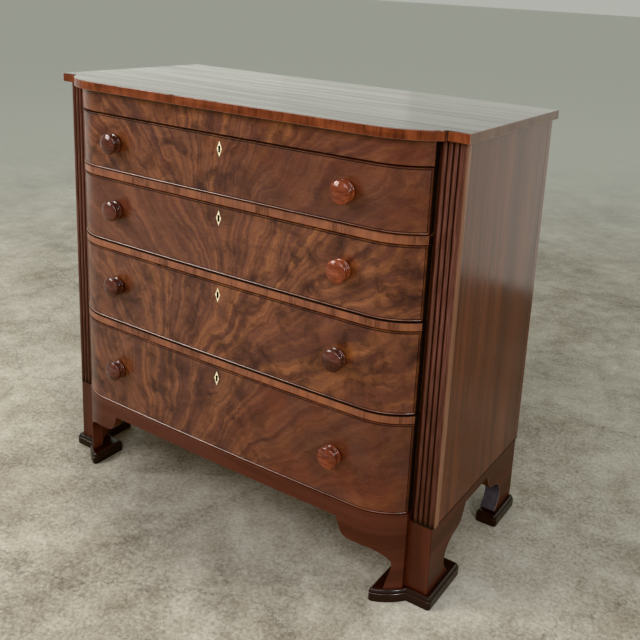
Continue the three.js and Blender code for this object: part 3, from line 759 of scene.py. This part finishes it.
class ChestSizes(bpy.types.PropertyGroup):
    board_round: bpy.props.FloatProperty(
        name="Board edge", description="Rounding of the rails', panels' and feet's edges",
        default=0.0011, min=0.0003, max=0.003, **IN_METRES,
    )
    top_round: bpy.props.FloatProperty(
        name="Top edge", description="Rounding of the top's edges",
        default=0.0018, min=0.0005, max=0.004, **IN_METRES,
    )
    chip_depth: bpy.props.FloatProperty(
        name="Chips", description="Depth of the wear along the top's front edge",
        default=0.0014, min=0.0, max=0.003, **IN_METRES,
    )
    knob_steps: bpy.props.IntProperty(
        name="Knob steps", description="Faces round each knob", default=64, min=24, max=128,
    )


class ChestColours(bpy.types.PropertyGroup):
    pass


COLOURS = {
    "veneer_dark": ("#3E2A28", "Dark blots of the figured veneer"),
    "veneer_ground": ("#623F36", "Ground of the figured veneer"),
    "veneer_gold": ("#8A5A40", "Golden wisps of the figured veneer"),
    "veneer_red": ("#633A30", "Plain red ground of the figured veneer"),
    "veneer_cloud": ("#573A34", "Clouds of old polish on the veneer"),
    "band_dark": ("#5C3A2E", "Dark lines of the crossbanding"),
    "band_middle": ("#7C5040", "Ground of the crossbanding"),
    "band_light": ("#8E5B43", "Light lines of the crossbanding"),
    # Darker than the crossbanding: painted shade against the stronger light on the top's edge
    "edge_dark": ("#46241A", "Dark lines of the top's banding"),
    "edge_middle": ("#653424", "Ground of the top's banding"),
    "edge_light": ("#7D4530", "Light lines of the top's banding"),
    # Pale edges: rubbed wood with a painted highlight along the arrises and the lower beads
    "rubbed_edge": ("#B39084", "Edges rubbed bare of polish"),
    # Near black: old dirt, also used as painted shade in gaps, seams and grooves
    "grime": ("#140B0A", "Old dirt in the grooves"),
    "iron": ("#6A6662", "Bare iron"),
    "iron_rust": ("#4A3022", "Rust on the iron"),
    "floor": ("#B0AA9D", "Ground of the floor"),
    "floor_dark": ("#80776A", "Stains on the floor"),
    "floor_pale": ("#D2CEC4", "Pale scuffs on the floor"),
    "floor_brown": ("#8A7A66", "Brown stains on the floor"),
    # Painted pale sheen of the floor seen edge on
    "floor_far": ("#DADBD4", "The floor seen edge on"),
}
# Dark grain, light grain, and what has them
GRAINS = {
    "top": ("#2E211B", "#4E3B31", "the top"),
    "end": ("#5E4034", "#6E4D3E", "the top's ends"),
    "side": ("#55332A", "#704233", "the side panels"),
    # Lighter than the side panels: a painted sheen
    "sheened_stile": ("#7E5B4A", "#95705D", "the front stiles' sides"),
    "base": ("#432620", "#55322B", "the apron and feet"),
    "reed": ("#503630", "#6E4B44", "the reeds"),
    "pad": ("#191211", "#2C1F1E", "the pads"),
    # Dark grey: dust with painted shade inside the rear feet
    "block": ("#4F4B4F", "#656065", "the rear foot blocks"),
    "turning": ("#5E332A", "#945440", "the knobs"),
    # Darker copy of the knobs' wood: painted shade
    "shaded_turning": ("#412A26", "#6A443D", "the darker knobs"),
    "bone": ("#B8A070", "#EFE6C8", "the bone"),
    "pine": ("#8E6648", "#C09C7C", "the pine"),
}
for key, (dark_code, light_code, words) in GRAINS.items():
    COLOURS[key + "_dark"] = (dark_code, "Dark grain of " + words)
    COLOURS[key + "_light"] = (light_code, "Light grain of " + words)
for colour_name, (code, words) in COLOURS.items():
    ChestColours.__annotations__[colour_name] = bpy.props.FloatVectorProperty(
        name=words, description=words + ", as seen in plain light", subtype="COLOR",
        size=3, min=0.0, max=1.0, default=linear(code),
    )


class ChestLights(bpy.types.PropertyGroup):
    key: bpy.props.FloatProperty(
        name="Key light", description="Power of the soft light at the left of the front",
        default=70.0, min=0.0, unit="POWER",
    )
    fill: bpy.props.FloatProperty(
        name="Fill light", description="Power of the broad light before the front",
        default=50.0, min=0.0, unit="POWER",
    )
    strip: bpy.props.FloatProperty(
        name="Strip lights", description="Power of each narrow light that the polish mirrors",
        default=26.0, min=0.0, unit="POWER",
    )
    wall: bpy.props.FloatProperty(
        name="Wall", description="Power of the pale wall behind the chest, seen in the polish only",
        default=35.0, min=0.0, unit="POWER",
    )
    room: bpy.props.FloatProperty(
        name="Room", description="Strength of the even light from all round",
        default=0.6, min=0.0, subtype="FACTOR",
    )


# Pieces


class CHEST_OT_top(bpy.types.Operator):
    """Top board with its banded, chipped front edge"""

    bl_idname = "chest.top"
    bl_label = "Top"

    def execute(self, context):
        sizes = context.scene.chest_sizes
        ear = PILASTER_FRONT - EAR_OVERHANG
        radius = BOW_END_RADIUS + TOP_BOW_OVERHANG
        right = bow_arc(radius, BOW_TURN, math.acos((END_Y - ear) / radius), 24)
        flat_end = (BOW_RADIUS + TOP_BOW_OVERHANG) * math.sin(BOW_TURN)
        count = 110
        flat = [-flat_end + 2 * flat_end * i / count for i in range(1, count)]
        outline = [(-x, y) for x, y in reversed(right)]
        outline += [(x, bow_y(x, -TOP_BOW_OVERHANG)) for x in flat] + right
        outline += [(TOP_HIGH.x, ear), (TOP_HIGH.x, CASE_BACK)]
        outline += [(TOP_LOW.x, CASE_BACK), (TOP_LOW.x, ear)]
        # Each board joint has a cut on both sides
        steps = (-BOARD_JOINT_HALF, 0.0, BOARD_JOINT_HALF)
        rows = [joint + step for joint in BOARD_JOINTS for step in steps]
        # The banding is joined where the bow meets the square ears
        bow_end = right[-1][0]
        ear_joint = bow_end - JOINT_WIDTH
        columns = (ear_joint - JOINT_WIDTH, ear_joint, bow_end)
        mesh = slab_mesh(
            [outline], TOP_HIGH.z - TOP_LOW.z, raised(TOP_LOW.z),
            [side * x for side in SIDES.values() for x in columns] + flat[::4], rows,
            sizes.top_round, lambda p: p.y < CASE_BACK - ON_FACE,
        )
        wear = mesh.verts.layers.float["wear"]
        front_edge = PILASTER_FRONT - BAND_DEPTH
        for vertex in mesh.verts:
            spot = vertex.co
            in_joint = any(abs(spot.y - joint) < ON_LINE for joint in BOARD_JOINTS)
            if in_joint and spot.z > TOP_HIGH.z - 0.0001:
                # Board joints that have opened here and there
                open_joint = noise.noise(Vector((spot.x * 3, spot.y * 9, 0.0)))
                vertex[wear] = -0.75 if spot.x > 0.15 or open_joint > 0.1 else -0.25
                spot.z -= BOARD_JOINT_SINK
            if not vertex[wear] or spot.z < TOP_HIGH.z - 0.004 or spot.y > front_edge:
                continue
            rough = max(noise.noise(Vector((spot.x * 60, 3.1, 0.0))) - 0.25, 0.0)
            for place, half, depth in CHIPS:
                rough += depth * max(1 - abs(spot.x - place) / half, 0.0)
            loss = min(rough, DEEPEST_CHIP) * sizes.chip_depth
            spot.z -= loss
            spot.y += loss
        for vertex in mesh.verts:
            out = abs(vertex.co.x)
            in_corner = vertex[wear] > 0 and abs(out - bow_end) < 0.0018
            if vertex.co.y < front_edge and (in_corner or abs(out - ear_joint) < ON_LINE):
                vertex[wear] = DIRT_AND_SHADE
        paint_faces(mesh, lambda p, n: 0 if abs(n.z) >= 0.6 else 1 if n.y < -0.3 else 2)
        surface = plain_mahogany("mahogany board, old polish", (0.05, 1.0, 1.0), "top", 0.17)
        # The top's banding has darker colours than the blades' crossbanding: painted shade against the
        # stronger light on the top's edge
        band = crossbanding("mahogany edge banding, polished", "edge")
        end_grain = plain_mahogany("mahogany end grain, polished", (1.0, 1.0, 0.3), "end", 0.3)
        finishes = [surface, band, end_grain]
        add_piece("top_with_banded_edge", mesh, finishes, "case", "mahogany", ["top_board"])
        return {"FINISHED"}


class CHEST_OT_rails(bpy.types.Operator):
    """Veneered frieze and the crossbanded blades between the drawers"""

    bl_idname = "chest.rails"
    bl_label = "Frieze and blades"

    def execute(self, context):
        rounding = context.scene.chest_sizes.board_round
        band = crossbanding("mahogany crossbanding, polished", "band")
        # Few clouds keep the frieze lighter than the drawers: painted light against the shade under the
        # top's overhang
        flame = figured_veneer(
            "flame mahogany veneer, frieze", 7.7, -0.1, 0.955, 0.2, (0.15, 0.45), 0.6, 0.1,
        )
        pieces = [("frieze_rail", "veneered_frieze", flame, "figured_veneer")]
        for row in DRAWERS[:-1]:
            pieces.append((f"drawer_blade_{row}", f"crossbanded_blade_{row}", band, "crossbanding"))

        def place(u, v, w):
            face = bow_y(u)
            return Vector((u, face + w / RAIL_DEPTH * (RAIL_BACK - face), v))

        for node, name, material, slot in pieces:
            low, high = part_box(node)
            board = rectangle(-BAY_SIDE, low.z, BAY_SIDE, high.z)
            # Rows between which the seams' painted shade fades
            rows = [low.z + 0.0025, high.z - 0.0016, high.z - 0.0022]
            mesh = slab_mesh(
                [board], RAIL_DEPTH, place, bow_columns(BAY_SIDE), rows, rounding,
                lambda p: p.z < ON_FACE and abs(p.x) < BAY_SIDE - ON_FACE,
            )
            darken_ends(mesh, BAY_SIDE)
            # Painted shade of the gaps lies along the seam over each blade and under the frieze
            if node == "frieze_rail":
                mark_darkening(mesh, lambda p: p.z < low.z + rounding + ON_LINE, DIRT_AND_SHADE)
            else:
                amount = DIRT_AND_SHADE / 2 if node == "drawer_blade_1" else DIRT_AND_SHADE
                mark_darkening(mesh, lambda p: p.z > high.z - 0.0018, amount)
            add_piece(name, mesh, [material], "case", slot, [node])
        return {"FINISHED"}


class CHEST_OT_pilasters(bpy.types.Operator):
    """Reeded pilasters with the sunk strip beside the drawers"""

    bl_idname = "chest.pilasters"
    bl_label = "Pilasters"

    def execute(self, context):
        reeded = reeded_mahogany()
        # The stiles' sides are painted lighter than the side panels: a painted sheen
        sheened_stile = plain_mahogany("mahogany stile, polished", (1.0, 1.0, 0.05), "sheened_stile", 0.3)
        strip = PILASTER_FRONT + STRIP_SINK
        first = BAY_SIDE + STRIP_WIDTH
        pitch = (PILASTER_HIGH.x - CORNER_LAND - first) / REED_COUNT
        outline = [(BAY_SIDE, strip), (first, strip)]
        for reed in range(REED_COUNT):
            for step in range(1 if reed else 0, REED_STEPS + 1):
                share = step / REED_STEPS
                rise = REED_RISE * (1 - math.sin(share * math.pi) ** 0.8)
                outline.append((first + (reed + share) * pitch, PILASTER_FRONT + rise))
        corner, land = PILASTER_HIGH.x, PILASTER_FRONT + REED_RISE
        outline += [(corner - CORNER_ROUND, land), (corner, land + CORNER_ROUND)]
        outline += [(corner, PILASTER_HIGH.y), (BAY_SIDE, PILASTER_HIGH.y)]
        mesh = slab_mesh([outline], PILASTER_HIGH.z - PILASTER_LOW.z, raised(PILASTER_LOW.z))
        paint_faces(mesh, lambda p, n: n.x > 0.9 and p.y > land)
        add_pair(
            "reeded_pilaster", mesh, [reeded, sheened_stile], "reeded_mahogany", "pilaster", smooth=0.9,
            weighted=False,
        )
        return {"FINISHED"}


class CHEST_OT_case(bpy.types.Operator):
    """Polished side panels, and the plain boards inside and behind"""

    bl_idname = "chest.case"
    bl_label = "Case"

    def execute(self, context):
        # Thinner old polish than on the front: a weaker mirror
        panel = plain_mahogany("mahogany panel, polished", (1.0, 1.0, 0.045), "side", 0.17, fine=0.25)
        # A shrinkage line runs down near the back
        joint = SIDE_HIGH.y - 0.024
        mesh = slab_mesh(
            [rectangle(SIDE_LOW.y, SIDE_LOW.z, SIDE_HIGH.y, SIDE_HIGH.z)], SIDE_HIGH.x - SIDE_LOW.x,
            lambda u, v, w: Vector((SIDE_HIGH.x - w, u, v)), [joint - 0.0012, joint, joint + 0.0012],
            [SIDE_LOW.z + 0.003, SIDE_LOW.z + 0.0045], context.scene.chest_sizes.board_round,
            lambda p: p.x > SIDE_HIGH.y - ON_FACE or p.y < SIDE_LOW.z + ON_FACE,
        )
        mark_darkening(mesh, lambda p: abs(p.y - joint) < ON_LINE and p.x > SIDE_HIGH.x - ON_FACE, -0.8)
        # Painted shadow of the panel's overhang along its bottom edge
        mark_darkening(mesh, lambda p: p.z < SIDE_LOW.z + 0.0032, DIRT_AND_SHADE)
        add_pair("polished_panel", mesh, [panel], "mahogany", "side_panel")
        pine = softwood("pine boards, planed", (0.06, 1.0, 1.0))
        for name in ("back_panel", "bottom_board", "dust_board_1", "dust_board_2", "dust_board_3"):
            finish_node(name, pine)
        return {"FINISHED"}


class CHEST_OT_base(bpy.types.Operator):
    """Bowed apron, corner posts and bracketed side boards"""

    bl_idname = "chest.base"
    bl_label = "Base and feet"

    def execute(self, context):
        rounding = context.scene.chest_sizes.board_round
        grains = {"apron": (0.06, 0.06, 1.0), "foot": (1.0, 1.0, 0.08), "base board": (1.0, 0.06, 1.0)}
        level, upright, across = (
            plain_mahogany(f"mahogany {part}, polished", grain, "base", 0.34, fine=0.25)
            for part, grain in grains.items()
        )
        # A dark grey block: dust with painted shade inside the rear foot
        dark_grey_block = plain_mahogany("mahogany foot block, dust and painted shade", (1.0, 1.0, 0.1), "block", 0.4)

        right = [(SIDE_HIGH.x - w, z) for w, z in bracket(FRONT_BRACKET, APRON_ARCH)]
        outline = [
            (-BAY_SIDE, PAD_TOP), *((-x, z) for x, z in right), *reversed(right), (BAY_SIDE, PAD_TOP),
            (BAY_SIDE, APRON_HIGH.z), (-BAY_SIDE, APRON_HIGH.z),
        ]

        def bowed(u, v, w):
            outer = bow_y(u)
            return Vector((u, outer + w / APRON_THICKNESS * (bow_y(u, APRON_THICKNESS) - outer), v))

        mesh = slab_mesh(
            [outline], APRON_THICKNESS, bowed, bow_columns(BAY_SIDE), (), rounding,
            lambda p: p.z < ON_FACE and abs(p.x) < BAY_SIDE - ON_FACE / 2,
        )
        # Painted shade in the crease where the apron meets the posts
        darken_ends(mesh, BAY_SIDE, 0.4)
        add_piece("bowed_apron", mesh, [level], "case", "mahogany", ["front_apron"])

        inner = BASE_HIGH.x - BASE_THICKNESS
        mitre = FOOT_LOW.y + (BASE_HIGH.x - FOOT_HIGH.x) + BASE_THICKNESS
        post = [(BAY_SIDE, FOOT_LOW.y), (BASE_HIGH.x, FOOT_LOW.y), (inner, mitre)]
        post += [(inner, FOOT_HIGH.y), (BAY_SIDE, FOOT_HIGH.y)]
        height = FOOT_HIGH.z - FOOT_LOW.z
        mesh = slab_mesh(
            [post], height, raised(FOOT_LOW.z), (), (), rounding,
            lambda p: p.x > BASE_HIGH.x - ON_FACE and abs(p.z - height / 2) < 0.01,
        )
        add_pair("corner_post", mesh, [upright], "mahogany", "front_foot")

        rise = bracket(SIDE_BRACKET, SIDE_ARCH)
        front, block_front = BASE_LOW.y, CASE_BACK - REAR_BLOCK
        rear_curve = [(CASE_BACK - w, z) for w, z in reversed(rise)]
        back = [(CASE_BACK, PAD_TOP), (CASE_BACK, BASE_HIGH.z)]
        board = [(front, PAD_TOP), *((FOOT_LOW.y + w, z) for w, z in rise), *rear_curve, *back]
        board.append((front, BASE_HIGH.z))
        mesh = slab_mesh(
            [board], BASE_THICKNESS,
            lambda u, v, w: Vector((BASE_HIGH.x - w, u + (w if u < front + 0.003 else 0.0), v)),
            (), (), rounding, lambda p: p.z < ON_FACE and p.x > front + ON_FACE,
        )
        # Edges of the board round the rear foot take the dark grey: painted shade inside the foot
        paint_faces(mesh, lambda p, n: (
            abs(n.x) < 0.5 and n.y < 0.5 and p.z < BASE_HIGH.z - 0.002 and p.y > block_front - 0.004
        ))
        toe = [p for p in rear_curve if p[0] > block_front]
        block = [(block_front, toe[0][1]), *toe, *back, (block_front, BASE_HIGH.z)]
        thick = slab_mesh([block], BLOCK_THICKNESS, lambda u, v, w: Vector((inner - w, u, v)))
        paint_faces(thick, lambda p, n: 1)
        joined = bpy.data.meshes.new("rear foot block")
        thick.to_mesh(joined)
        thick.free()
        mesh.from_mesh(joined)
        bpy.data.meshes.remove(joined)
        add_pair("bracket_board", mesh, [across, dark_grey_block], "mahogany", "side_base")
        return {"FINISHED"}


class CHEST_OT_pads(bpy.types.Operator):
    """Dark pads with a moulded upper edge under the four feet"""

    bl_idname = "chest.pads"
    bl_label = "Pads"

    def execute(self, context):
        dark = plain_mahogany("mahogany pad, blackened polish", (0.1, 0.1, 1.0), "pad", 0.16)
        # Inset, height and wear of each ring: a round below, a step, a quarter round, then a groove;
        # wear above zero paints highlight lines, below zero soiling with painted shade in the step and
        # the groove
        rows = [
            (0.001, 0.0, 0.0), (0.0, 0.0012, 0.0), (0.0, 0.0186, 0.0), (0.0007, 0.0194, 0.3),
            (0.0018, 0.0196, DIRT_AND_SHADE), (0.0018, 0.0204, -0.5),
        ]
        for i in range(1, 6):
            turn = i / 6 * math.pi / 2
            rows.append((0.0018 + 0.0038 * (1 - math.cos(turn)), 0.0204 + 0.0066 * math.sin(turn), 0.0))
        rows += [
            (0.0056, 0.027, 0.9), (0.0061, 0.0268, 0.3), (0.0064, 0.0262, -1.0), (0.0072, 0.0262, -1.0),
            (0.0076, 0.027, 0.0),
        ]
        low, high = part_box("right_front_pad")
        front = FOOT_LOW.y - PAD_OVERHANG
        radius = BOW_END_RADIUS + PAD_BOW_OVERHANG
        first, last = math.asin((low.x - END_X) / radius), math.acos((END_Y - front) / radius)
        arc = bow_arc(radius, first, last, 16)
        arc = arc[:1] + [point for point in arc if math.dist(point, arc[0]) > 0.012]
        leg, inside = high.x - PAD_LEG_WIDTH, front + PAD_LEG_START
        toes = [*arc, (high.x, front), (high.x, high.y), (leg, high.y), (leg, inside), (low.x, inside)]
        low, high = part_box("right_rear_pad")
        for place, outline in (("front", toes), ("rear", rectangle(low.x, low.y, high.x, high.y))):
            mesh = moulded_mesh(round_corners(outline, PAD_CORNER), rows)
            add_pair(f"{place}_moulded_pad", mesh, [dark], "dark_pad_wood", f"{place}_pad", smooth=0.5)
        return {"FINISHED"}


def keyhole(level):
    """A round hole over a narrow slot, as one loop about a level."""
    radius, half_slot, slot, middle = 0.003, 0.0025, 0.0075, level + 0.004
    opening = math.asin(half_slot / radius)
    loop = [(-half_slot, level - slot), (half_slot, level - slot)]
    for i in range(13):
        turn = opening + (2 * math.pi - 2 * opening) * i / 12
        loop.append((radius * math.sin(turn), middle - radius * math.cos(turn)))
    return loop


def bead_rise(distance):
    """How far a drawer front's bead stands off the veneer, at a distance in from the edge."""
    for (near, low), (far, high) in zip(BEAD, BEAD[1:]):
        if distance <= far:
            return low + (high - low) * (distance - near) / (far - near)
    return 0.0


class CHEST_OT_drawer_fronts(bpy.types.Operator):
    """Bowed, veneered drawer fronts with a bead all round and their keyholes"""

    bl_idname = "chest.drawer_fronts"
    bl_label = "Drawer fronts"

    def execute(self, context):
        # Figure of each front: seed, spine, lean, where it fades, red of the plain ground, clouds
        figures = {
            1: (11.0, -0.12, 0.35, (-0.02, 0.2), 0.3, 1.0),
            2: (23.0, 0.2, -0.5, (0.08, -0.2), 0.1, 0.6),
            3: (35.0, 0.05, -0.65, (0.6, 0.9), 0.0, 0.5),
            4: (47.0, -0.2, 0.1, (0.0, 0.25), 0.9, 1.0),
        }
        dirt_and_shade = dark_keyhole_walls()
        for row in DRAWERS:
            low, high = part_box(f"drawer_{row}_front")
            lock = sum((corner.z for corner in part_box(f"drawer_{row}_escutcheon")), 0.0) / 2
            seed, spine, *figure = figures[row]
            flame = figured_veneer(
                f"flame mahogany veneer, drawer {row}", seed, spine, (low.z + high.z) / 2, *figure,
            )
            insets = [inset for inset, _ in BEAD[1:]]
            ends = [high.x - inset * BEAD_END_SHARE for inset in insets]
            columns = [c for c in bow_columns(high.x) if abs(c) < ends[-1] - 0.0005]
            columns += ends + [-x for x in ends]
            rows = [low.z + inset for inset in insets] + [high.z - inset for inset in insets]

            def inward(u, v, low=low, high=high):
                return min((high.x - abs(u)) / BEAD_END_SHARE, v - low.z, high.z - v)

            def place(u, v, w, seat=high.y, inward=inward):
                face = bow_y(u, FRONT_SET_BACK)
                if w < 0.0001:
                    return Vector((u, face - bead_rise(inward(u, v)), v))
                return Vector((u, min(face + w, seat), v))

            outline = rectangle(low.x, low.z, high.x, high.z)
            mesh = slab_mesh([outline, keyhole(lock)], FRONT_THICKNESS, place, columns, rows)
            wear = mesh.verts.layers.float["wear"]
            for vertex in mesh.verts:
                depth = inward(vertex.co.x, vertex.co.z)
                rise = bead_rise(depth)
                if depth > ON_LINE:
                    # The lower bead is painted pale, most of all at its left: a painted highlight with
                    # some rubbing; the upper bead and the bead's dips are painted dark as shade
                    rubbed = 0.45 - 0.4 * max(min(vertex.co.x / 0.35, 1.0), -1.0)
                    if vertex.co.z > low.z + 0.004:
                        rubbed = DIRT_AND_SHADE / 2
                    vertex[wear] = DIRT_AND_SHADE if rise < -0.0005 else rubbed * max(rise / BEAD_RISE, 0.0)
            darken_ends(mesh, high.x)
            # The keyhole's walls are painted near black: painted shade with soiling
            paint_faces(mesh, lambda p, n: (
                abs(n.y) < 0.5 and abs(p.x) < HOLE_HALF_WIDTH and abs(p.z - lock) < 0.01
            ))
            add_piece(
                f"drawer_{row}_veneered_front", mesh, [flame, dirt_and_shade], f"drawer_{row}", "figured_veneer",
                [f"drawer_{row}_front"], smooth=1.2,
            )
        return {"FINISHED"}


class CHEST_OT_drawer_boxes(bpy.types.Operator):
    """Plain sides, backs and bottoms of the drawers, and their iron locks"""

    bl_idname = "chest.drawer_boxes"
    bl_label = "Drawer boxes"

    def execute(self, context):
        across = softwood("pine drawer bottoms and backs, planed", (0.06, 1.0, 1.0))
        endways = softwood("pine drawer sides, planed", (1.0, 0.06, 1.0))
        iron = forged_iron()
        parts = {"right_side": endways, "left_side": endways, "bottom": across, "back": across}
        for row in DRAWERS:
            for part, pine in parts.items():
                finish_node(f"drawer_{row}_{part}", pine)
            finish_node(f"drawer_{row}_lock", iron)
        return {"FINISHED"}


class CHEST_OT_knobs(bpy.types.Operator):
    """Eight turned knobs: a flange, a hollow, a bead and a domed face"""

    bl_idname = "chest.knobs"
    bl_label = "Knobs"

    def execute(self, context):
        grain = (0.3, 1.0, 1.0)
        # The left knobs and drawer 3's right one take a darker copy of the same wood: painted shade
        turned = {
            "right": plain_mahogany("mahogany turning, polished", grain, "turning", 0.08),
            "left": plain_mahogany("mahogany turning, painted shade", grain, "shaded_turning", 0.1),
        }
        # Radius and distance out from the seat, in millimetres
        flange = [
            (12, 0), (11.8, 0.8), (11, 2.3), (12, 2.7), (19.5, 2.9), (21.3, 3.4), (22.2, 4.4),
            (22.5, 5.6), (22.2, 6.8), (21.2, 7.8), (19.8, 8.4),
        ]
        hollow = [(19.2, 8.7), (18.2, 9.7), (17.8, 11), (18.1, 12.2), (19, 13.2)]
        bead = [(19.8, 13.5), (21.4, 13.9), (22.4, 14.9), (22.7, 16.1), (22.4, 17.2), (21.4, 18)]
        face = [
            (20.6, 18.3), (20.6, 19), (22.4, 19.6), (23.5, 20.6), (24, 22), (23.8, 23.4),
            (22.9, 24.7), (21.4, 25.7), (19, 26.8), (15, 28.2), (10, 29.5), (5, 30.3), (0, 30.5),
        ]
        # Soiling and painted shade lie at the seat and in the grooves
        grooves = ((-20, 2.5), (13.1, 13.7), (17.9, 19.2))
        profile = [(0.0, -0.018), (0.005, -0.018), (0.005, 0.0)]
        profile += [(radius / 1000, out / 1000) for radius, out in flange + hollow + bead + face]
        for row in DRAWERS:
            for side in SIDES:
                node = f"drawer_{row}_{side}_knob"
                low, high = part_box(node)
                centre = (low + high) / 2
                centre.y = low.y + profile[-1][1]
                mesh = lathe_mesh(profile, context.scene.chest_sizes.knob_steps, centre)
                for near, far in grooves:
                    mark_darkening(mesh, lambda p: near < (centre.y - p.y) * 1000 < far, -0.7)
                polish = turned["left" if row == 3 else side]
                add_piece(
                    f"drawer_{row}_{side}_turned_knob", mesh, [polish], f"drawer_{row}",
                    "polished_turning", [node], smooth=0.9, weighted=False,
                )
        return {"FINISHED"}


class CHEST_OT_escutcheons(bpy.types.Operator):
    """Bone diamonds round the keyholes"""

    bl_idname = "chest.escutcheons"
    bl_label = "Escutcheons"

    def execute(self, context):
        inlay = bone()
        dirt_and_shade = bpy.data.materials.get("old polish, soiling and painted shade, dull") or dark_keyhole_walls()
        for row in DRAWERS:
            node = f"drawer_{row}_escutcheon"
            low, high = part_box(node)
            middle = (low.z + high.z) / 2
            diamond = [(0.0, low.z), (high.x, middle), (0.0, high.z), (low.x, middle)]
            mesh = slab_mesh(
                [diamond, keyhole(middle)], high.y - low.y, lambda u, v, w: Vector((u, low.y + w, v)),
                rounding=0.0003, soften=lambda p: p.z < 0.0001, segments=2,
            )
            # The keyhole's walls are painted near black: painted shade with soiling
            paint_faces(mesh, lambda p, n: (
                abs(n.y) < 0.9 and abs(p.x) < HOLE_HALF_WIDTH and abs(p.z - middle) < 0.0082
            ))
            add_piece(
                f"drawer_{row}_bone_escutcheon", mesh, [inlay, dirt_and_shade], f"drawer_{row}", "bone", [node],
            )
        return {"FINISHED"}


class CHEST_OT_stage(bpy.types.Operator):
    """Pale floor, soft lights and the camera"""

    bl_idname = "chest.stage"
    bl_label = "Floor, lights and camera"

    def execute(self, context):
        scene = context.scene
        lights = scene.chest_lights
        mesh = bmesh.new()
        bmesh.ops.create_grid(mesh, x_segments=8, y_segments=8, size=90.0)
        floor = add_object("floor", mesh, [concrete()], weighted=False)

        def add_light(name, place, aim, size, power, tint="#FFFFFF", mirrored_only=False):
            data = bpy.data.lights.new(name, "AREA")
            data.shape = "RECTANGLE"
            data.size, data.size_y = size
            data.energy = power
            data.color = linear(tint)
            light = bpy.data.objects.new(name, data)
            light.location = place
            light.rotation_euler = (Vector(aim) - Vector(place)).to_track_quat("-Z", "Y").to_euler()
            light.visible_camera = False
            light.visible_diffuse = not mirrored_only
            scene.collection.objects.link(light)

        middle, low = (0.0, 0.0, 0.5), (0.0, -0.25, 0.6)
        add_light("key light", (-2.3, -2.6, 2.2), (0.0, -0.1, 0.5), (1.5, 1.5), lights.key, "#FFFBF4")
        add_light("fill light", (1.2, -3.2, 2.7), middle, (2.6, 1.8), lights.fill, "#FAFBFF")
        add_light("left strip", (-2.2, -1.6, 2.4), low, (0.22, 1.3), lights.strip)
        add_light("right strip", (2.6, -1.5, 1.7), low, (0.2, 1.0), lights.strip)
        for left, right, share in WALL_STRETCHES:
            x, width = (left + right) / 2, right - left
            power = lights.wall * share * width / (WALL_STRETCHES[-1][1] - WALL_STRETCHES[0][0])
            add_light("wall", (x, 1.66, 1.35), (x, 0.0, 1.35), (width, 2.6), power, "#E9EBE2", True)
        power = lights.wall * SIDE_WALL_SHARE
        add_light("side wall", (-2.7, 0.4, 0.85), (0.0, 0.4, 0.85), (2.2, 1.5), power, "#F2EEE8", True)

        world = bpy.data.worlds.new("pale room")
        world.use_nodes = True
        background = world.node_tree.nodes["Background"]
        background.inputs["Color"].default_value = rgba(linear("#E6E8E0"))
        background.inputs["Strength"].default_value = lights.room
        scene.world = world

        data = bpy.data.cameras.new("camera")
        data.sensor_fit = "HORIZONTAL"
        data.sensor_width = SENSOR
        data.lens = CAMERA_FOCUS / PICTURE * SENSOR
        data.shift_x = (PICTURE / 2 - CAMERA_AXIS[0]) / PICTURE
        data.shift_y = (CAMERA_AXIS[1] - PICTURE / 2) / PICTURE
        data.clip_start, data.clip_end = 0.05, 300.0
        camera = bpy.data.objects.new("camera", data)
        turn = Matrix.Rotation(CAMERA_YAW, 4, "Z") @ Matrix.Rotation(math.pi / 2 - CAMERA_PITCH, 4, "X")
        turn @= Matrix.Rotation(CAMERA_ROLL, 4, "Z")
        camera.matrix_world = Matrix.Translation(CAMERA_PLACE) @ turn
        scene.collection.objects.link(camera)
        scene.camera = camera
        scene.view_settings.view_transform = "Khronos PBR Neutral"
        return {"FINISHED"}


class CHEST_PT_pieces(bpy.types.Panel):
    """Lists the chest's pieces and settings"""

    bl_idname = "CHEST_PT_pieces"
    bl_label = "Bow front chest"
    bl_space_type = "VIEW_3D"
    bl_region_type = "UI"
    bl_category = "Chest"

    def draw(self, context):
        for operator in OPERATORS:
            self.layout.operator(operator.bl_idname)
        for settings in ("chest_sizes", "chest_lights", "chest_colours"):
            group = getattr(context.scene, settings)
            column = self.layout.column(align=True)
            for name in group.__annotations__:
                column.prop(group, name)


OPERATORS = (
    CHEST_OT_stage, CHEST_OT_top, CHEST_OT_rails, CHEST_OT_pilasters, CHEST_OT_case, CHEST_OT_base,
    CHEST_OT_pads, CHEST_OT_drawer_fronts, CHEST_OT_drawer_boxes, CHEST_OT_knobs, CHEST_OT_escutcheons,
)
GROUPS = {"chest_sizes": ChestSizes, "chest_colours": ChestColours, "chest_lights": ChestLights}


def register():
    for cls in (*GROUPS.values(), *OPERATORS, CHEST_PT_pieces):
        bpy.utils.register_class(cls)
    for name, group in GROUPS.items():
        setattr(bpy.types.Scene, name, bpy.props.PointerProperty(type=group))


def unregister():
    for name in GROUPS:
        delattr(bpy.types.Scene, name)
    for cls in reversed((*GROUPS.values(), *OPERATORS, CHEST_PT_pieces)):
        bpy.utils.unregister_class(cls)


def main():
    register()
    for operator in OPERATORS:
        area, name = operator.bl_idname.split(".")
        getattr(getattr(bpy.ops, area), name)()


if __name__ == "__main__":
    main()
